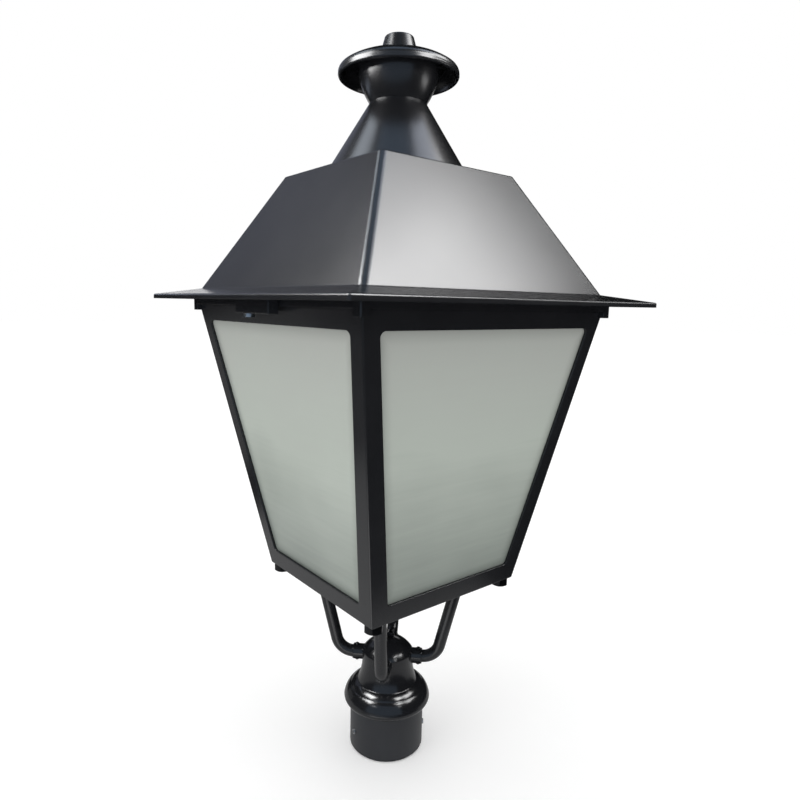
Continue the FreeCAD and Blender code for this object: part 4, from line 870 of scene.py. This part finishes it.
@dataclass(frozen=True)
class LampGear(Assembly):
    """Tray under the roof with the light engine, driver and terminals. Sizes in millimetres."""

    FINISHES: ClassVar[dict[Finish, list[str]]] = {
        WHITE_PAINT: ["gear_tray"],
        EXTRUSION: ["heat_sink"],
        BOARD_WHITE: ["led_board"],
        PHOSPHOR: ["led_chips"],
        DRIVER_PLASTIC: ["driver_case"],
        TERMINAL_PLASTIC: ["terminal_block"],
    }

    tray_screw: PanScrew = PanScrew(3.5, 2.0, 2.0, 5.0)
    tray_screw_out: float = 147.0
    tray_screw_along: float = 60.0
    tray_under: float = 525.5
    board_screw: PanScrew = PanScrew(3.5, 2.0, 2.0, 7.6)
    board_screw_at: float = 52.0
    board_under: float = 523.9
    driver_screw: PanScrew = PanScrew(3.5, 2.0, 2.0, 5.5)
    driver_screw_at: tuple[float, float] = (61.0, 91.0)
    driver_foot: float = 531.0
    lens: Lens = Lens(2.1, 1.3)
    chip_pitch: float = 22.0
    chip_row: int = 5
    chip_under: float = 522.9
    clamp: ClampScrew = ClampScrew(2.9, 2.4)
    clamp_up: float = 538.0
    clamp_turn: float = 35.0
    clamp_places: tuple[tuple[float, float], ...] = ((-14.0, -92.0), (0.0, -92.0), (14.0, -92.0))

    def build(self) -> None:
        """Model the screws, lenses and clamps of the lamp gear."""
        sides = (-1, 1)
        out, along = self.tray_screw_out, self.tray_screw_along
        set_out(self.tray_screw.build(), "tray_pan_screws",
                [place(x, y, self.tray_under, DOWN) for side in sides for way in sides
                 for x, y in ((side * out, way * along), (way * along, side * out))],
                Carrier.ROOF, ZINC_STEEL, "tray_screws")
        at = self.board_screw_at
        set_out(self.board_screw.build(), "board_pan_screws",
                [place(x * at, y * at, self.board_under, DOWN) for x in sides for y in sides],
                Carrier.ROOF, ZINC_STEEL, "board_screws")
        x, y = self.driver_screw_at
        set_out(self.driver_screw.build(), "driver_pan_screws",
                [place(side * x, y, self.driver_foot) for side in sides],
                Carrier.ROOF, ZINC_STEEL, "driver_screws")
        steps = [(i - (self.chip_row - 1) / 2) * self.chip_pitch for i in range(self.chip_row)]
        set_out(self.lens.build(), "led_lenses",
                [place(a, b, self.chip_under, DOWN) for a in steps for b in steps],
                Carrier.ROOF, PHOSPHOR)
        set_out(self.clamp.build(), "terminal_clamp_screws",
                [place(a, b, self.clamp_up, turn_deg=self.clamp_turn * i)
                 for i, (a, b) in enumerate(self.clamp_places)],
                Carrier.ROOF, ZINC_STEEL)


# Points that the lights aim at, in metres
BODY_AIM = (0.0, 0.0, 0.55)
CAP_AIM = (0.0, 0.0, 0.757)
UNDER_CAP_AIM = (0.0, 0.0, 0.75)
CHIMNEY_AIM = (0.0, 0.0, 0.81)
PANE_AIM = (0.0, 0.0, 0.45)
HUB_AIM = (0.0, 0.0, 0.10)


@dataclass(frozen=True)
class Softbox:
    """One rectangular light, placed by its direction as seen from the point that it aims at.

    Angles are in degrees, the bearing from +X towards +Y. The reach, the size and the aim are in metres, and
    the glow is the brightness of the light's face, where white paper in full light is one.
    """

    name: str
    bearing: float
    height: float
    reach: float
    size: tuple[float, float]
    glow: float
    colour: str = WHITE
    aim: tuple[float, float, float] = BODY_AIM
    beam: Beam = Beam.SHEEN

    def build(self) -> None:
        """Hang the light."""
        turn, rise = math.radians(self.bearing), math.radians(self.height)
        away = Vector((math.cos(rise) * math.cos(turn), math.cos(rise) * math.sin(turn), math.sin(rise)))
        data = bpy.data.lights.new(self.name, "AREA")
        data.shape = "RECTANGLE"
        data.size, data.size_y = self.size
        data.energy = math.pi * data.size * data.size_y * self.glow
        data.color = linear(self.colour)[:3]
        light = bpy.data.objects.new(self.name, data)
        bpy.context.scene.collection.objects.link(light)
        light.location = Vector(self.aim) + away * self.reach
        light.rotation_euler = (-away).to_track_quat("-Z", "Y").to_euler()
        light.visible_camera = False
        light.visible_diffuse = self.beam is Beam.MATT
        light.visible_glossy = self.beam is Beam.SHEEN


SOFTBOXES = (
    Softbox("main_right", -39.0, 42.0, 2.2, (1.05, 1.06), 7.4),
    Softbox("main_low", -45.0, 40.0, 2.2, (1.20, 0.68), 6.2),
    Softbox("upper_right", -42.0, 64.0, 2.2, (0.92, 0.70), 4.5, "#e6efff"),
    Softbox("rear_left", 128.0, 57.0, 2.4, (0.80, 0.75), 4.1, "#e3eefb"),
    Softbox("top_cool", -150.0, 82.0, 2.2, (1.35, 1.35), 1.05, "#c0ddff"),
    Softbox("rear_sky", 86.5, 26.7, 2.6, (1.81, 1.34), 0.36, "#dfe6ff"),
    Softbox("brim_left", 74.0, 6.5, 2.4, (0.5, 0.3), 2.2),
    Softbox("brim_right", 36.0, 11.0, 2.4, (0.68, 0.3), 1.5),
    Softbox("strip_left", 160.0, 16.0, 0.60, (0.42, 0.46), 22.0, aim=CAP_AIM),
    Softbox("strip_right", -78.0, 22.0, 0.60, (0.26, 0.40), 18.0, aim=CAP_AIM),
    Softbox("upper_left", 162.0, 47.0, 2.2, (0.60, 0.30), 14.0, aim=CAP_AIM),
    Softbox("key_left", 193.0, 40.0, 2.2, (0.3, 0.22), 5.0, aim=HUB_AIM),
    Softbox("key_right", 272.0, 40.0, 2.2, (0.3, 0.22), 5.0, aim=HUB_AIM),
    Softbox("low_left", 118.0, -9.5, 0.7, (0.28, 0.08), 1.6, "#dfeaff", UNDER_CAP_AIM),
    Softbox("low_right", -43.0, -14.0, 0.5, (0.20, 0.08), 4.5, aim=UNDER_CAP_AIM),
    Softbox("left_dim", 118.0, -15.0, 1.0, (0.45, 0.36), 0.25, aim=PANE_AIM),
    Softbox("front_cool", -135.0, 0.0, 1.2, (2.4, 1.6), 0.6, "#c0d9f5", CHIMNEY_AIM),
    Softbox("floor_glow", 0.0, -90.0, 0.548, (0.9, 0.9), 0.48, aim=(-0.15, 0.18, 0.55)),
    Softbox("floor_front", 0.0, -90.0, 0.547, (0.3, 0.3), 1.5, aim=(-0.33, -0.22, 0.55)),
    Softbox("fill_left", 178.0, 15.0, 2.2, (1.2, 1.2), 1.7, beam=Beam.MATT),
)


@dataclass(frozen=True)
class Studio:
    """Pale floor, soft lights, white backdrop and the camera at the photograph's place."""

    camera_mm: tuple[float, float, float] = (-436.4, -543.5, 522.9)
    turn_deg: float = -38.764
    pitch_deg: float = -8.709
    roll_deg: float = 1.1128
    lens_mm: float = 28.28
    sensor_mm: float = 36.0
    shift: tuple[float, float] = (0.0095, 0.0012)
    clip: tuple[float, float] = (0.01, 60.0)
    floor_side: float = 30.0
    floor_glow: float = 0.12
    boxes: tuple[Softbox, ...] = SOFTBOXES

    def floor(self) -> None:
        """Lay the floor, which is clear from below so that the part can be looked at from there."""
        bpy.ops.object.select_all(action="DESELECT")
        bpy.ops.mesh.primitive_plane_add(size=self.floor_side, location=ORIGIN)
        floor = bpy.context.active_object
        floor.name = "floor"
        material = bpy.data.materials.new("matt_white_card")
        material.use_nodes = True
        tree = material.node_tree
        tree.nodes.clear()
        card = node(tree, "BsdfPrincipled", {"Base Color": linear(WHITE), "Roughness": 1.0,
                                             "Specular IOR Level": 0.0, "Emission Strength": self.floor_glow})
        clear = node(tree, "BsdfTransparent")
        under = node(tree, "NewGeometry").outputs["Backfacing"]
        both = node(tree, "MixShader", {"Fac": under, 1: card.outputs["BSDF"], 2: clear.outputs["BSDF"]})
        node(tree, "OutputMaterial", {"Surface": both.outputs["Shader"]})
        floor.data.materials.append(material)
        floor.visible_glossy = False

    def sky(self) -> None:
        """Set a white backdrop that lights the scene evenly and leaves the reflections to the softboxes."""
        world = bpy.data.worlds.new("studio")
        bpy.context.scene.world = world
        world.use_nodes = True
        tree = world.node_tree
        tree.nodes.clear()
        card = node(tree, "Background", {"Color": linear(WHITE), "Strength": 1.0})
        node(tree, "OutputWorld", {"Surface": card.outputs["Background"]})
        world.cycles_visibility.glossy = False

    def camera(self) -> None:
        """Set up the camera."""
        data = bpy.data.cameras.new("camera")
        data.sensor_width = self.sensor_mm
        data.lens = self.lens_mm
        data.shift_x, data.shift_y = self.shift
        data.clip_start, data.clip_end = self.clip
        camera = bpy.data.objects.new("camera", data)
        bpy.context.scene.collection.objects.link(camera)
        turn, pitch, roll = (math.radians(v) for v in (self.turn_deg, self.pitch_deg, self.roll_deg))
        ahead = Vector((-math.sin(turn) * math.cos(pitch), math.cos(turn) * math.cos(pitch), math.sin(pitch)))
        right = ahead.cross(Vector(UP)).normalized()
        over = right.cross(ahead)
        right, over = (math.cos(roll) * right + math.sin(roll) * over,
                       math.cos(roll) * over - math.sin(roll) * right)
        turned = Matrix((right, over, -ahead)).transposed().to_4x4()
        camera.matrix_world = Matrix.Translation(Vector(self.camera_mm) * MM) @ turned
        bpy.context.scene.camera = camera

    def build(self) -> None:
        """Set up the whole studio."""
        bpy.context.scene.view_settings.view_transform = "Standard"
        self.floor()
        self.sky()
        for box in self.boxes:
            box.build()
        self.camera()


def main() -> None:
    """Build the studio, then build and dress every sub-assembly."""
    logging.basicConfig(level=logging.INFO, format="%(name)s: %(message)s")
    Studio().build()
    for part in (PoleMount(), GlazedBody(), Roof(), LampGear()):
        part.build()
        part.dress()
        LOG.info("finished %s", type(part).__name__)
    bpy.context.view_layer.update()


if __name__ == "__main__":
    main()
